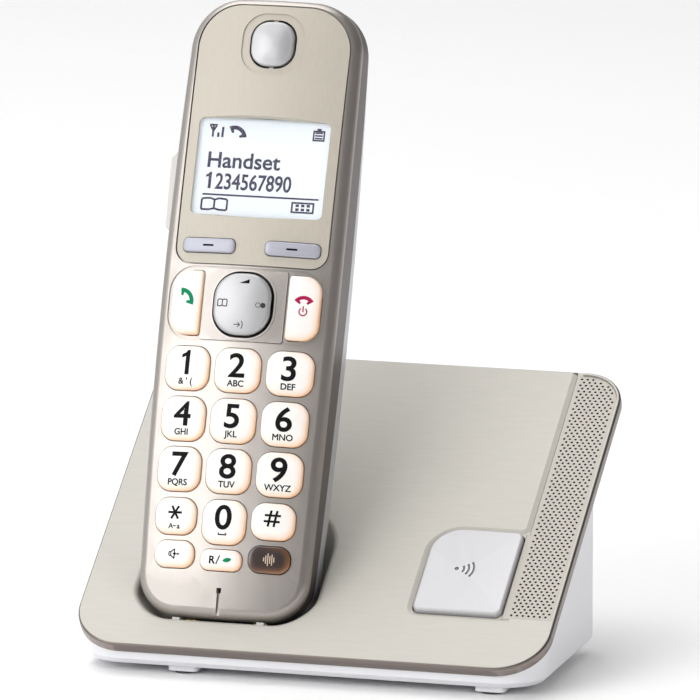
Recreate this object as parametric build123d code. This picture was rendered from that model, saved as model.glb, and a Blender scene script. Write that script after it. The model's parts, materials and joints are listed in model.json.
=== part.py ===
from build123d import *
import math
import os

# Cordless telephone: a handset standing in a sloping charging base.
# Millimetres, +Z up, front towards -Y. The last step centres the object on the origin,
# with its foot pads on z = 0.

# ---------------------------------------------------------------- base, driving sizes
BASE_W = 132.2          # width of the sloping top
SLOPE_L = 111.5         # its length up the slope
SLOPE_DEG = 33.9        # its angle to the table
EDGE_Z = 8.5            # height of its front edge
COVER_T = 3.0           # thickness of the top cover, seen as the rim
COVER_FOOT_R = 14.0     # plan radius of the front corners
COVER_HEAD_R = 11.0     # plan radius of the rear corners
RIM_ROUND = 0.8         # rounding of the rim's upper edge
HOUSING_INSET = 1.5     # housing stands this far inside the cover's edge
HOUSING_Z = 2.4         # underside of the housing
REAR_WALL_Y = 65.5      # outer face of the upright rear wall
HOUSING_WALL = 1.8
HOUSING_FOOT_R = 11.0   # round between rear wall and underside
REAR_CORNER_R = 5.0     # plan radius of the rear wall's corners
UNDERCUT = 1.5          # bevel around the underside
BACKING_T = 3.2         # white backing under the overhanging part of the cover
BOSS_R = 3.0
SCREW_R = 1.1
FIT = 0.05              # radial gap of a running fit

# features on the sloping top: x from the middle, t up the slope
STRIP_X0 = 52.0         # left edge of the perforated strip
STRIP_FOOT_X0 = 51.1    # the same beside the button
STRIP_T0 = 18.4         # its lower edge
STRIP_DEPTH = 1.8       # recess that it lies in
STRIP_T = 1.3           # its thickness
STRIP_GAP = 0.15
STEP_W = 1.3            # sloping step from the top down to the button and the strip
STEP_DEPTH = 0.6
STEP_CORNER_R = 2.5
RIM_W = 1.0             # cover's rim left outside the strip
BUTTON_X = (26.2, 50.8)
BUTTON_T = (19.1, 49.4)
BUTTON_BIG_R = 8.5
BUTTON_SMALL_R = 2.0
BUTTON_GAP = 0.45
BUTTON_PROUD = 0.9
BUTTON_TRAVEL = 1.0

# ---------------------------------------------------------------- handset, driving sizes
# its own frame: x across, s up from the bottom end (local Y), h out of the face (local Z)
HS_L = 170.0
HS_TILT = 70.9          # angle of its axis to the table
HS_X = -26.14           # where the bottom of its face stands
HS_Y = 6.10
HS_Z = 15.85
HS_FOOT_W = 46.9        # width at the bottom end
HS_MID_W = 49.8
HS_HEAD_W = 47.4
HS_T = 27.0             # thickness at the middle
END_RISE = 0.7          # sag of the arcs that close both ends
FOOT_R = 11.5
HEAD_R = 14.0
FACE_CROSS_R = 101.0    # the face is crowned across
FACE_LONG_R = 1163.0    # and along
FACE_MID_S = 59.0       # highest station of the face
BACK_CROSS_R = 75.0
BACK_LONG_R = 1600.0
BACK_MID_S = 75.0
FACE_ROUND = 3.0
BACK_ROUND = 8.0
SIDE_WALL = 1.9
FACE_WALL = 2.2
PART_LINE = 6.2         # depth of the joint between front and rear covers
REAR_WALL = 1.9

# handset face layout
PANEL_W = 42.6          # upper trim panel
PANEL_S = (96.3, 168.0)
PANEL_FOOT_R = 4.5
PANEL_HEAD_R = 11.8
PANEL_T = 1.2
PANEL_GROOVE = 0.4
WINDOW_W = 37.2         # display window, 1.8 inch picture
WINDOW_S = (109.9, 136.7)
WINDOW_R = 1.6
WINDOW_DEPTH = 1.7
WINDOW_BEVEL = 0.9
LENS_T = 0.8
LCD_H = -3.1            # face of the display module
LCD_T = 1.6
LCD_MARGIN = 0.45       # it reaches this far behind the window's edges
EAR_S = 157.5           # middle of the earpiece
EAR_CAP = (12.0, 12.4)
EAR_RING = (17.6, 17.0)
EAR_CAP_R = 4.8
EAR_SLOT = 0.55         # width of the sound slot around the cap
EAR_BRIDGE = 1.2
NAV_S = 85.3            # middle of the navigation key
NAV_X = -0.3
NAV_SIZE = (15.8, 16.8)
NAV_PROUD = 2.0
NAV_GAP = 0.7
NAV_PIVOT_H = -5.9
BEZEL_X = (-12.0, 11.4)
BEZEL_S = (75.4, 95.0)
BEZEL_T = 1.3
CALL_RECESS = (44.2, 20.4, 7.2)
CALL_RECESS_DEPTH = 0.3
MIC_S = 7.6

# keys: opening gap, hidden flange, travel and the rubber sheet under them
KEY_PROUD = 1.1
KEY_GAP = 0.22
KEY_FLANGE = 0.45
KEY_FLANGE_H = (-6.1, -5.4)
KEY_BOTTOM_H = -6.3
KEY_TRAVEL = 0.8
MAT_H = (-8.2, -7.3)
PCB_H = (-9.4, -8.2)

# name: (x, s, width, height, corner radius)
NUMBER_ROWS = [(67.3, 14.45, 12.8), (53.5, 14.25, 12.7), (39.8, 14.1, 12.5)]
KEY_H = 12.1
KEY_R = 4.0
KEYS = {}
for row, (row_s, column_x, key_w) in enumerate(NUMBER_ROWS):
    for column in range(3):
        KEYS["key_%d" % (3 * row + column + 1)] = ((column - 1) * column_x, row_s, key_w, KEY_H, KEY_R)
KEYS["key_star"] = (-13.9, 27.0, 11.9, 10.0, 3.8)
KEYS["key_0"] = (0.0, 26.0, 12.2, 12.1, KEY_R)
KEYS["key_hash"] = (13.5, 27.0, 11.9, 10.0, 3.8)
KEYS["key_speaker"] = (-13.4, 16.7, 11.4, 7.4, 3.2)
KEYS["key_recall"] = (0.0, 15.7, 11.6, 5.7, 2.4)
KEYS["key_voice"] = (13.2, 16.7, 11.4, 7.3, 3.2)

CALL_KEY_X = (12.1, 20.9)   # talk key and its mirror image, the off key
CALL_KEY_S = (76.4, 94.1)
CALL_KEY_OUTER_R = 6.0
CALL_KEY_INNER_R = 1.0
SOFT_KEY = (11.8, 101.15, 15.0, 3.9, 1.4)
SOFT_KEY_PROUD = 0.7

SIDE_KEY_S = (104.0, 128.0)
SIDE_KEY_H = (-12.2, -8.4)
SIDE_KEY_OUT = 26.7         # distance of its outer face from the middle
SIDE_KEY_IN = 21.7

# battery bay
CELL_R = 5.25               # AAA cells
CELL_L = 44.5
CELL_NUB_R = 1.9
CELL_NUB_L = 0.8
CELL_X = 5.7
SPRING_WIRE_R = 0.35
CELL_H = -18.6
BAY_X = 12.2
BAY_S = (49.5, 98.5)
BAY_PLATE_T = 0.5           # contact plates at its ends
BAY_FLOOR_H = (-12.7, -11.6)
DOOR_X = 16.5
DOOR_S = (44.0, 104.0)
DOOR_R = 3.0
DOOR_T = 1.6
DOOR_GAP = 0.3

HANDSET_SCREWS = [(-14.5, 8.6), (14.5, 8.6), (-16.0, 146.5), (16.0, 146.5)]
SCREW_SEAT_H = -19.0
CONTACT_X = 9.5
CONTACT_H = (-12.6, -9.6)

# charging cradle
CRADLE_GAP = 0.75
CRADLE_WALL = 1.6
CRADLE_BACK_R = 7.0
CRADLE_FOOT_R = 12.0
CRADLE_LIP = 1.6
CRADLE_HALF_W = 24.35 + CRADLE_GAP
RIB_X = 11.85
RIB_H = (-6.5, -3.0)
CONTACT_TRAVEL = 0.7

# base inside
BASE_SCREWS = [(-58.0, 17.0), (57.0, 14.0), (-54.5, 53.5), (54.5, 53.5)]
BASE_PCB_X = (5.0, 60.0)
BASE_PCB_Y = (17.0, 57.5)
BASE_PCB_Z = (7.6, 9.2)
LINE_JACK_X = (10.0, 24.0)
POWER_JACK_X = (33.0, 43.0)
LINE_JACK_SIZE = (14.0, 16.0, 13.6)
POWER_JACK_SIZE = (10.0, 12.0, 9.8)
LINE_SOCKET = (9.8, 12.0, 6.8)
POWER_SOCKET = (6.4, 9.0, 5.0)
FEET = [(-35.1, 8.5), (50.7, 8.5), (-46.0, 50.0), (46.0, 50.0)]
FOOT_SIZE = (8.4, 7.0)
FOOT_CORNER_R = 1.5
PAD_R = 2.9
PAD_T = 0.8

FAR = 80.0                  # larger than any section


def sloping_plane(x, y, z, degrees):
    """Plane through a point, tilted back from the table, its local Y running up the slope."""
    angle = math.radians(degrees)
    return Plane(origin=(x, y, z), x_dir=(1, 0, 0), z_dir=(0, -math.sin(angle), math.cos(angle)))


TOP = sloping_plane(0, 0, EDGE_Z, SLOPE_DEG)
HANDSET = sloping_plane(HS_X, HS_Y, HS_Z, HS_TILT)


def block(xs, ys, zs):
    """Box between two values on each axis."""
    size = [abs(pair[1] - pair[0]) for pair in (xs, ys, zs)]
    middle = [(pair[0] + pair[1]) / 2 for pair in (xs, ys, zs)]
    return Pos(*middle) * Box(*size)


def rounded(x, y, w, h, r):
    return Pos(x, y) * RectangleRounded(w, h, r)


def between(face, low, high):
    """Prism on a plan face, from one height to another."""
    return Pos(0, 0, low) * extrude(face, amount=high - low, dir=(0, 0, 1))


# ---------------------------------------------------------------- handset forms

STATIONS = (-20, 30, 85, 140, 195)     # where the crowned surfaces' sections stand


def crowned_section(s, apex, radius, outward, far):
    """Section across the handset: a crowned edge at apex, a straight one at far."""
    half = 32.0
    edge = apex - outward * (radius - math.sqrt(radius ** 2 - half ** 2))
    station = Plane(origin=(0, s, 0), x_dir=(1, 0, 0), z_dir=(0, -1, 0))
    crown = ThreePointArc((-half, edge), (0, apex), (half, edge))
    rest = Polyline((half, edge), (half, far), (-half, far), (-half, edge))
    return station * make_face([crown, rest])


def face_form(drop):
    """Everything behind the crowned face, lowered by drop."""
    sections = []
    for s in STATIONS:
        apex = -drop - (s - FACE_MID_S) ** 2 / (2 * FACE_LONG_R)
        sections.append(crowned_section(s, apex, FACE_CROSS_R - drop, 1, -60))
    return loft(sections)


def flat_face_form(drop):
    """Everything behind a surface that follows the face along, but is level across."""
    station = Plane(origin=(0, FACE_MID_S, 0), x_dir=(1, 0, 0), z_dir=(0, -1, 0))
    section = Pos(0, -drop - 30) * Rectangle(70, 60)
    axis = Axis((0, FACE_MID_S, -FACE_LONG_R), (1, 0, 0))
    solid = revolve(station * section, axis, 20)
    return solid.rotate(axis, -10)


def back_form(lift):
    """Everything in front of the crowned back, raised by lift."""
    sections = []
    for s in STATIONS:
        apex = lift - HS_T + (s - BACK_MID_S) ** 2 / (2 * BACK_LONG_R)
        sections.append(crowned_section(s, apex, BACK_CROSS_R - lift, -1, 30))
    return loft(sections)


def handset_outline(inset):
    """Barrel-shaped plan of the handset, pulled in by inset."""
    foot = HS_FOOT_W / 2 - inset
    middle = HS_MID_W / 2 - inset
    head = HS_HEAD_W / 2 - inset
    low = END_RISE + inset
    high = HS_L - END_RISE - inset
    face = make_face([
        ThreePointArc((-foot, low), (0, inset), (foot, low)),
        ThreePointArc((foot, low), (middle, 95), (head, high)),
        ThreePointArc((head, high), (0, HS_L - inset), (-head, high)),
        ThreePointArc((-head, high), (-middle, 95), (-foot, low)),
    ])
    face = fillet(face.vertices().group_by(Axis.Y)[0], FOOT_R - inset)
    return fillet(face.vertices().sort_by(Axis.Y)[-2:], HEAD_R - inset)


def handset_form(side, front, back):
    """Handset body pulled in by separate amounts at its sides, face and back."""
    solid = extrude(handset_outline(side), amount=FAR, dir=(0, 0, 1), both=True)
    solid = solid & face_form(front) & back_form(back)
    if not side:
        solid = fillet(solid.faces().sort_by(Axis.Z)[-1].edges(), FACE_ROUND)
    solid = fillet(solid.faces().sort_by(Axis.Z)[0].edges(), BACK_ROUND - side)
    return solid


# ---------------------------------------------------------------- handset parts

def call_key_face(side, grow):
    """Talk or off key plan: big outer corners, nearly square inner ones. side is -1 or 1."""
    x0, x1 = CALL_KEY_X
    s0, s1 = CALL_KEY_S
    face = Pos(side * (x0 + x1) / 2, (s0 + s1) / 2) * Rectangle(x1 - x0, s1 - s0)
    corners = face.vertices().sort_by(Axis.X)
    outer = corners[2:] if side > 0 else corners[:2]
    face = fillet(outer, CALL_KEY_OUTER_R)
    corners = face.vertices().sort_by(Axis.X)
    inner = corners[:2] if side > 0 else corners[-2:]
    face = fillet(inner, CALL_KEY_INNER_R)
    if grow:
        face = offset(face, amount=grow)
    return face


def key_face(name, grow):
    """Plan of any face key, grown by an amount."""
    if name == "key_talk":
        return call_key_face(-1, grow)
    if name == "key_off":
        return call_key_face(1, grow)
    if name in ("key_soft_left", "key_soft_right"):
        x, s, w, h, r = SOFT_KEY
        side = -1 if name == "key_soft_left" else 1
        return rounded(side * x, s, w + 2 * grow, h + 2 * grow, r + grow)
    x, s, w, h, r = KEYS[name]
    return rounded(x, s, w + 2 * grow, h + 2 * grow, r + grow)


def face_key(name):
    """Key cap that follows the crowned face and stands proud of it, with a hidden flange."""
    soft = name.startswith("key_soft")
    proud = SOFT_KEY_PROUD if soft else KEY_PROUD
    cap = between(key_face(name, 0), KEY_BOTTOM_H, 10) & face_form(-proud)
    cap = fillet(cap.faces().sort_by(Axis.Z)[-1].edges(), 0.5)
    level = -0.9 if soft else 0.0
    flange = between(key_face(name, KEY_FLANGE), KEY_FLANGE_H[0] + level, KEY_FLANGE_H[1] + level)
    if soft:
        cap = cap + between(key_face(name, 0), KEY_BOTTOM_H + level, KEY_BOTTOM_H + 1)
    return cap + flange


FACE_KEYS = list(KEYS) + ["key_talk", "key_off", "key_soft_left", "key_soft_right"]


def panel_face(grow):
    """Plan of the upper trim panel."""
    s0, s1 = PANEL_S
    face = Pos(0, (s0 + s1) / 2) * Rectangle(PANEL_W, s1 - s0)
    face = fillet(face.vertices().group_by(Axis.Y)[0], PANEL_FOOT_R)
    face = fillet(face.vertices().sort_by(Axis.Y)[-2:], PANEL_HEAD_R)
    if grow:
        face = offset(face, amount=grow)
    return face


def window_face(grow):
    s0, s1 = WINDOW_S
    return rounded(0, (s0 + s1) / 2, WINDOW_W + 2 * grow, s1 - s0 + 2 * grow, WINDOW_R + max(grow, 0))


def window_plane():
    """Frame tangent to the face at the window's middle."""
    middle = (WINDOW_S[0] + WINDOW_S[1]) / 2
    run = middle - FACE_MID_S
    drop = FACE_LONG_R - math.sqrt(FACE_LONG_R ** 2 - run ** 2)
    tilt = math.degrees(math.asin(run / FACE_LONG_R))
    return Pos(0, middle, -drop) * Rot(-tilt, 0, 0) * Pos(0, -middle, 0)


def bezel_face(grow):
    x0, x1 = BEZEL_X
    s0, s1 = BEZEL_S
    return rounded((x0 + x1) / 2, (s0 + s1) / 2, x1 - x0 + 2 * grow, s1 - s0 + 2 * grow, 0.8 + grow)


def nav_face(grow):
    return rounded(NAV_X, NAV_S, NAV_SIZE[0] + 2 * grow, NAV_SIZE[1] + 2 * grow, 6.6 + grow)


def ear_face(grow):
    return rounded(0, EAR_S, EAR_CAP[0] + 2 * grow, EAR_CAP[1] + 2 * grow, EAR_CAP_R + grow)


def ear_slot_ring(low, high):
    """Crescent sound slots on both sides of the earpiece cap."""
    ring = ear_face(EAR_SLOT) - ear_face(0)
    ring = ring - Pos(0, EAR_S) * Rectangle(EAR_BRIDGE, 30)
    return between(ring, low, high)


def make_front_cover(outer, inner):
    shell = (outer - inner) & flat_opposite()
    for name in FACE_KEYS:
        shell = shell - between(key_face(name, KEY_GAP), -20, 10)
    shell = shell - between(nav_face(NAV_GAP), -20, 10)
    shell = shell - window_plane() * between(window_face(0.6), -20, 10)
    shell = shell - ear_slot_ring(-20, 10)
    shell = shell - block((-0.65, 0.65), (MIC_S - 0.7, MIC_S + 0.7), (-10, 10))
    shell = shell - block((-0.45, 0.45), (-5, MIC_S), (-2.2, 5))
    for x, s in HANDSET_SCREWS:
        shell = shell + (Pos(x, s, 0) * between(Circle(BOSS_R), -9.9, 0) & inner)
    for x, s in HANDSET_SCREWS:
        shell = shell - Pos(x, s, 0) * between(Circle(SCREW_R), -20, -6)
    shell = shell - (between(panel_face(PANEL_GROOVE), -40, 10) - face_form(PANEL_T))
    shell = shell - (between(bezel_face(0.1), -6, 10) - face_form(BEZEL_T))
    w, h, r = CALL_RECESS
    recess = rounded(0, sum(CALL_KEY_S) / 2, w, h, r) - bezel_face(0.1)
    return shell - (between(recess, -6, 10) - face_form(CALL_RECESS_DEPTH))


def flat_opposite():
    """Region in front of the joint between the covers."""
    return block((-40, 40), (-20, 200), (-60, 20)) - flat_face_form(PART_LINE)


def make_rear_cover(outer, inner):
    shell = (outer - inner) & flat_face_form(PART_LINE)
    room = inner & flat_face_form(PART_LINE)
    bay_outer = block((-BAY_X - 1.2, BAY_X + 1.2), (BAY_S[0] - 1.2, BAY_S[1] + 1.2), (-40, BAY_FLOOR_H[1]))
    bay_inner = block((-BAY_X, BAY_X), BAY_S, (-40, BAY_FLOOR_H[0]))
    shell = shell + (bay_outer & room)
    for x, s in HANDSET_SCREWS:
        shell = shell + (Pos(x, s, 0) * between(Circle(BOSS_R), -40, -10.0) & room)
    shell = shell - bay_inner
    shell = shell - (between(door_face(0), -40, -15) - back_form(DOOR_T + 0.1))
    for x, s in HANDSET_SCREWS:
        shell = shell - Pos(x, s, 0) * between(Circle(SCREW_R + FIT), -40, 0)
        shell = shell - Pos(x, s, 0) * between(Circle(2.5), -40, SCREW_SEAT_H)
    slot = SlotCenterToCenter(9, 1.4)
    for row in range(5):
        shell = shell - Pos(0, 132 + 3.4 * row, 0) * between(slot, -40, -22)
    s0, s1 = SIDE_KEY_S
    h0, h1 = SIDE_KEY_H
    shell = shell - block((-40, -20.4), (s0 - 0.2, s1 + 0.2), (h0 - 0.2, h1 + 0.2))
    for side in (-1, 1):
        x = side * CONTACT_X
        shell = shell - block((x - 1.8, x + 1.8), (-5, 1.3), (CONTACT_H[0] - 0.4, CONTACT_H[1] + 0.4))
    return shell


def door_face(grow):
    s0, s1 = DOOR_S
    return rounded(0, (s0 + s1) / 2, 2 * DOOR_X + 2 * grow, s1 - s0 + 2 * grow, DOOR_R)


def make_door(outer):
    """Lid of the battery bay: a patch of the back, with a finger dimple."""
    lid = (outer & between(door_face(-DOOR_GAP), -40, -15)) - back_form(DOOR_T)
    dimple = Pos(0, DOOR_S[1] - 9, -HS_T - 16.4) * Sphere(17.5)
    return lid - dimple


def make_side_key():
    s0, s1 = SIDE_KEY_S
    out = -SIDE_KEY_OUT
    root = -24.4
    face = make_face([Polyline((out, s0 + 2.6), (out, s1 - 2.6), (root, s1), (-22.6, s1), (-22.6, s0),
                               (root, s0), (out, s0 + 2.6))])
    cap = between(face, SIDE_KEY_H[0], SIDE_KEY_H[1])
    flange = block((-22.6, -SIDE_KEY_IN), (s0 - 0.7, s1 + 0.7), (SIDE_KEY_H[0] - 0.6, SIDE_KEY_H[1] + 0.6))
    return cap + flange


def make_panel():
    panel = between(panel_face(0), -40, 10) & face_form(0.12)
    panel = panel - face_form(PANEL_T)
    frame = window_plane()
    panel = panel - frame * between(window_face(0), -20, 10)
    bevel = loft([Pos(0, 0, -WINDOW_DEPTH) * window_face(0), window_face(WINDOW_BEVEL)])
    panel = panel - frame * bevel
    panel = panel - frame * between(window_face(WINDOW_BEVEL), 0, 5)
    for name in ("key_soft_left", "key_soft_right"):
        panel = panel - between(key_face(name, KEY_GAP), -20, 10)
    panel = panel - between(ear_face(EAR_SLOT), -20, 10)
    dish = between(rounded(0, EAR_S, EAR_RING[0], EAR_RING[1], 6.6), -20, 10) - face_form(0.55)
    return panel - dish


def make_ear_cap():
    cap = between(ear_face(0), -20, 10)
    cap = (cap & face_form(-0.45)) - face_form(PANEL_T)
    return fillet(cap.faces().sort_by(Axis.Z)[-1].edges(), 0.5)


def make_lens():
    return window_plane() * between(window_face(-0.1), -WINDOW_DEPTH - LENS_T, -WINDOW_DEPTH)


def make_lcd():
    s0 = WINDOW_S[0]
    back = LCD_H - LCD_T
    glass = between(window_face(LCD_MARGIN), back, LCD_H)
    tail = block((-7, 7), (s0 - 3.2, s0), (back, back + 0.4))
    return window_plane() * (glass + tail)


def make_bezel():
    """Plate around the navigation key, with two ears that carry its pivot."""
    plate = between(bezel_face(0), -40, 10) & face_form(-0.1)
    plate = plate - face_form(BEZEL_T)
    plate = plate - between(nav_face(NAV_GAP), -20, 10)
    rim = between(nav_face(NAV_GAP + 0.5) - nav_face(NAV_GAP), -40, 10)
    return plate + (rim & face_form(-0.35)) - (rim & face_form(BEZEL_T))


def make_nav_key():
    low = -3.0
    cap = between(nav_face(0), low, 10) & face_form(-NAV_PROUD)
    cap = fillet(cap.faces().sort_by(Axis.Z)[-1].edges(), 1.0)
    for side in (-1, 1):
        s = NAV_S + side * 4.6
        leg = block((NAV_X - 1.2, NAV_X + 1.2), (s - 0.6, s + 0.6), (NAV_PIVOT_H - 0.9, low))
        hole = Pos(NAV_X, s, NAV_PIVOT_H) * Rot(90, 0, 0) * Cylinder(0.45 + FIT, 3)
        cap = cap + leg - hole
    return cap


def make_nav_pivot():
    """Gimbal ring: two pins across for the tilt up and down, two along for left and right."""
    ring = Pos(NAV_X, NAV_S, NAV_PIVOT_H) * (Cylinder(3.4, 1.1) - Cylinder(2.1, 1.1))
    for side in (-1, 1):
        ring = ring + Pos(NAV_X + side * 4.3, NAV_S, NAV_PIVOT_H) * Rot(0, 90, 0) * Cylinder(0.45, 2.6)
        ring = ring + Pos(NAV_X, NAV_S + side * 4.1, NAV_PIVOT_H) * Rot(90, 0, 0) * Cylinder(0.45, 2.2)
    return ring


def make_nav_bracket():
    """Small frame on the circuit board whose ears hold the gimbal's cross pins."""
    base = block((NAV_X - 6.4, NAV_X + 6.4), (NAV_S - 1.5, NAV_S + 1.5), (MAT_H[1], MAT_H[1] + 0.35))
    for side in (-1, 1):
        x = NAV_X + side * 5.5
        ear = block((x - 0.6, x + 0.6), (NAV_S - 1.1, NAV_S + 1.1), (MAT_H[1], NAV_PIVOT_H + 0.9))
        hole = Pos(x, NAV_S, NAV_PIVOT_H) * Rot(0, 90, 0) * Cylinder(0.45 + FIT, 3)
        base = base + ear - hole
    return base


def inner_plan(inset, s0, s1, low, high):
    """Flat plate that fills the inside plan of the handset between two stations."""
    plan = handset_outline(SIDE_WALL + inset)
    return between(plan, low, high) & block((-40, 40), (s0, s1), (low, high))


def make_mat():
    mat = inner_plan(1.4, 11.9, 95.5, *MAT_H)
    for name in list(KEYS) + ["key_talk", "key_off"]:
        x, s = key_centre(name)
        mat = mat + Pos(x, s, MAT_H[1]) * Cylinder(2.2, 0.1)
    return mat


def key_centre(name):
    box = key_face(name, 0).bounding_box()
    return ((box.min.X + box.max.X) / 2, (box.min.Y + box.max.Y) / 2)


def make_handset_pcb():
    pcb = inner_plan(0.6, 11.8, 142.0, *PCB_H)
    s = (SIDE_KEY_S[0] + SIDE_KEY_S[1]) / 2
    return pcb - block((-40, -20.2), (s - 13.4, s + 13.4), (-20, 0))


def make_cell(side):
    """One cell, its nub against the contact plate: up on the right, down on the left."""
    tip = BAY_S[1] - BAY_PLATE_T - FIT if side > 0 else BAY_S[0] + BAY_PLATE_T + FIT
    nub = Pos(0, tip - side * CELL_NUB_L / 2, 0) * Rot(90, 0, 0) * Cylinder(CELL_NUB_R, CELL_NUB_L)
    middle = tip - side * (CELL_L + CELL_NUB_L) / 2
    body = Pos(0, middle, 0) * Rot(90, 0, 0) * Cylinder(CELL_R, CELL_L - CELL_NUB_L)
    return Pos(side * CELL_X, 0, CELL_H) * (body + nub)


def make_battery_contacts():
    """Plates at both ends of the bay, with a coil spring's cone on each flat end of a cell."""
    plates = []
    for end, s in zip((-1, 1), BAY_S):
        plate = block((-10.6, 10.6), (s, s - end * BAY_PLATE_T), (CELL_H - 4.4, CELL_H + 4.4))
        for turn in range(5):
            reach = BAY_PLATE_T + 0.3 + 0.56 * turn
            coil = Rot(90, 0, 0) * Torus(3.4 - 0.3 * turn, SPRING_WIRE_R)
            plate = plate + Pos(-end * CELL_X, s - end * reach, CELL_H) * coil
        plates.append(plate)
    return Compound(children=plates)


def make_handset_screws():
    screws = []
    for x, s in HANDSET_SCREWS:
        head = Pos(x, s, SCREW_SEAT_H - 0.8) * (Cylinder(2.1, 1.6) - Pos(0, 0, -0.6) * Box(2.6, 0.5, 0.6)
                                               - Pos(0, 0, -0.6) * Box(0.5, 2.6, 0.6))
        shank = Pos(x, s, 0) * between(Circle(SCREW_R), SCREW_SEAT_H - 0.01, -7.0)
        screws.append(head + shank)
    return Compound(children=screws)


def stepped_disc(s, h, r, t, r_front, t_front):
    """Speaker: a wide disc with a narrower one in front of it, along the middle line."""
    disc = between(Circle(r), h - t / 2, h + t / 2)
    return Pos(0, s, 0) * (disc + between(Circle(r_front), h + t / 2, h + t / 2 + t_front))


def make_handset():
    outer = handset_form(0, 0, 0)
    inner = handset_form(SIDE_WALL, FACE_WALL, REAR_WALL)
    parts = {
        "handset_front_cover": make_front_cover(outer, inner),
        "handset_rear_cover": make_rear_cover(outer, inner),
        "display_panel": make_panel(),
        "earpiece_cap": make_ear_cap(),
        "display_window": make_lens(),
        "lcd_module": make_lcd(),
        "navigation_bezel": make_bezel(),
        "navigation_key": make_nav_key(),
        "navigation_gimbal": make_nav_pivot(),
        "navigation_bracket": make_nav_bracket(),
        "keypad_mat": make_mat(),
        "handset_circuit_board": make_handset_pcb(),
        "receiver_speaker": stepped_disc(EAR_S - 1.0, -10.3, 8.5, 2.6, 6.5, 0.6),
        "hands_free_speaker": stepped_disc(138.8, -20.5, 9.8, 3.0, 6.5, 1.2),
        "microphone": Pos(0, MIC_S, -5.8) * Cylinder(2.0, 2.0),
        "handset_antenna": block((-18.5, -9.5), (142.5, 143.5), (-14.0, -9.0)),
        "handset_charge_contacts": Compound(children=[
            block((x - 1.8, x + 1.8), (0.15, 1.3), (CONTACT_H[0] - 0.4, CONTACT_H[1] + 0.4))
            for x in (-CONTACT_X, CONTACT_X)]),
        "battery_left": make_cell(-1),
        "battery_right": make_cell(1),
        "battery_contacts": make_battery_contacts(),
        "battery_door": make_door(outer),
        "handset_screws": make_handset_screws(),
        "side_key": make_side_key(),
    }
    for name in FACE_KEYS:
        parts[name] = face_key(name)
    return {name: HANDSET.location * part for name, part in parts.items()}


# ---------------------------------------------------------------- base parts

def top_face(inset):
    """Plan of the sloping top, pulled in by inset."""
    face = Pos(0, SLOPE_L / 2) * Rectangle(BASE_W, SLOPE_L)
    face = fillet(face.vertices().group_by(Axis.Y)[0], COVER_FOOT_R)
    face = fillet(face.vertices().sort_by(Axis.Y)[-2:], COVER_HEAD_R)
    if inset:
        face = offset(face, amount=-inset)
    return face


def cradle_form(grow):
    """Prism that the handset slides out of, in the handset's frame, grown by an amount."""
    half = CRADLE_HALF_W + grow
    back = -HS_T - CRADLE_GAP - grow
    foot = -CRADLE_GAP - grow
    section = Pos(0, (back + 4) / 2) * Rectangle(2 * half, 4 - back)
    section = fillet(section.vertices().group_by(Axis.Y)[0], CRADLE_BACK_R + grow)
    prism = extrude(Plane(origin=(0, foot, 0), x_dir=(1, 0, 0), z_dir=(0, -1, 0)) * section, amount=-100)
    plan = Pos(0, foot + 60) * Rectangle(2 * half + 2, 120)
    plan = fillet(plan.vertices().group_by(Axis.Y)[0], CRADLE_FOOT_R + grow)
    prism = prism & extrude(plan, amount=FAR, dir=(0, 0, 1), both=True)
    edges = prism.faces().sort_by(Axis.Y)[0].edges().sort_by(Axis.Z)[:1]
    prism = fillet(edges, 5.0 + grow)
    return HANDSET.location * prism


def button_face(grow):
    x0, x1 = BUTTON_X
    t0, t1 = BUTTON_T
    face = Pos((x0 + x1) / 2, (t0 + t1) / 2) * Rectangle(x1 - x0, t1 - t0)
    corner = face.vertices().sort_by(Axis.X)[:2].sort_by(Axis.Y)[-1:]
    face = fillet(corner, BUTTON_BIG_R)
    rest = [v for v in face.vertices() if v.X > x1 - 0.1 or v.Y < t0 + 0.1]
    face = fillet(rest, BUTTON_SMALL_R)
    if grow:
        face = offset(face, amount=grow)
    return face


def plan_block(x0, x1, t0, t1):
    """Rectangle between two values on each axis."""
    return Pos((x0 + x1) / 2, (t0 + t1) / 2) * Rectangle(x1 - x0, t1 - t0)


def strip_face(inset):
    """Plan of the perforated strip: the right-hand border of the top, wider beside the button."""
    low = STRIP_T0 + inset
    zone = plan_block(STRIP_X0 + inset, BASE_W, low, 2 * SLOPE_L)
    zone = zone + plan_block(STRIP_FOOT_X0 + inset, BASE_W, low, BUTTON_T[1] + BUTTON_GAP - inset)
    return top_face(RIM_W + inset) & zone


def sloping_step():
    """Tapered cut that lowers the top's edge around the button and along the strip."""
    x0 = BUTTON_X[0] - BUTTON_GAP
    t0 = BUTTON_T[0] - BUTTON_GAP
    t1 = BUTTON_T[1] + BUTTON_GAP
    plan = plan_block(x0, BASE_W, t0, t1) + plan_block(STRIP_X0, BASE_W, t0, 2 * SLOPE_L)
    left = plan.vertices().sort_by(Axis.X)[:2].sort_by(Axis.Y)
    plan = fillet(left[-1:], BUTTON_BIG_R + BUTTON_GAP)
    left = [v for v in plan.vertices() if abs(v.X - x0) < 0.1 and abs(v.Y - t0) < 0.1]
    plan = fillet(left, BUTTON_SMALL_R + BUTTON_GAP)
    turn = [v for v in plan.vertices() if abs(v.X - STRIP_X0) < 0.1 and abs(v.Y - t1) < 0.1]
    plan = fillet(turn, STEP_CORNER_R)
    step = loft([Pos(0, 0, -STEP_DEPTH) * plan, offset(plan, amount=STEP_W)])
    return step & block((0, STRIP_X0 + 1.5), (0, 2 * SLOPE_L), (-5, 5))


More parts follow.
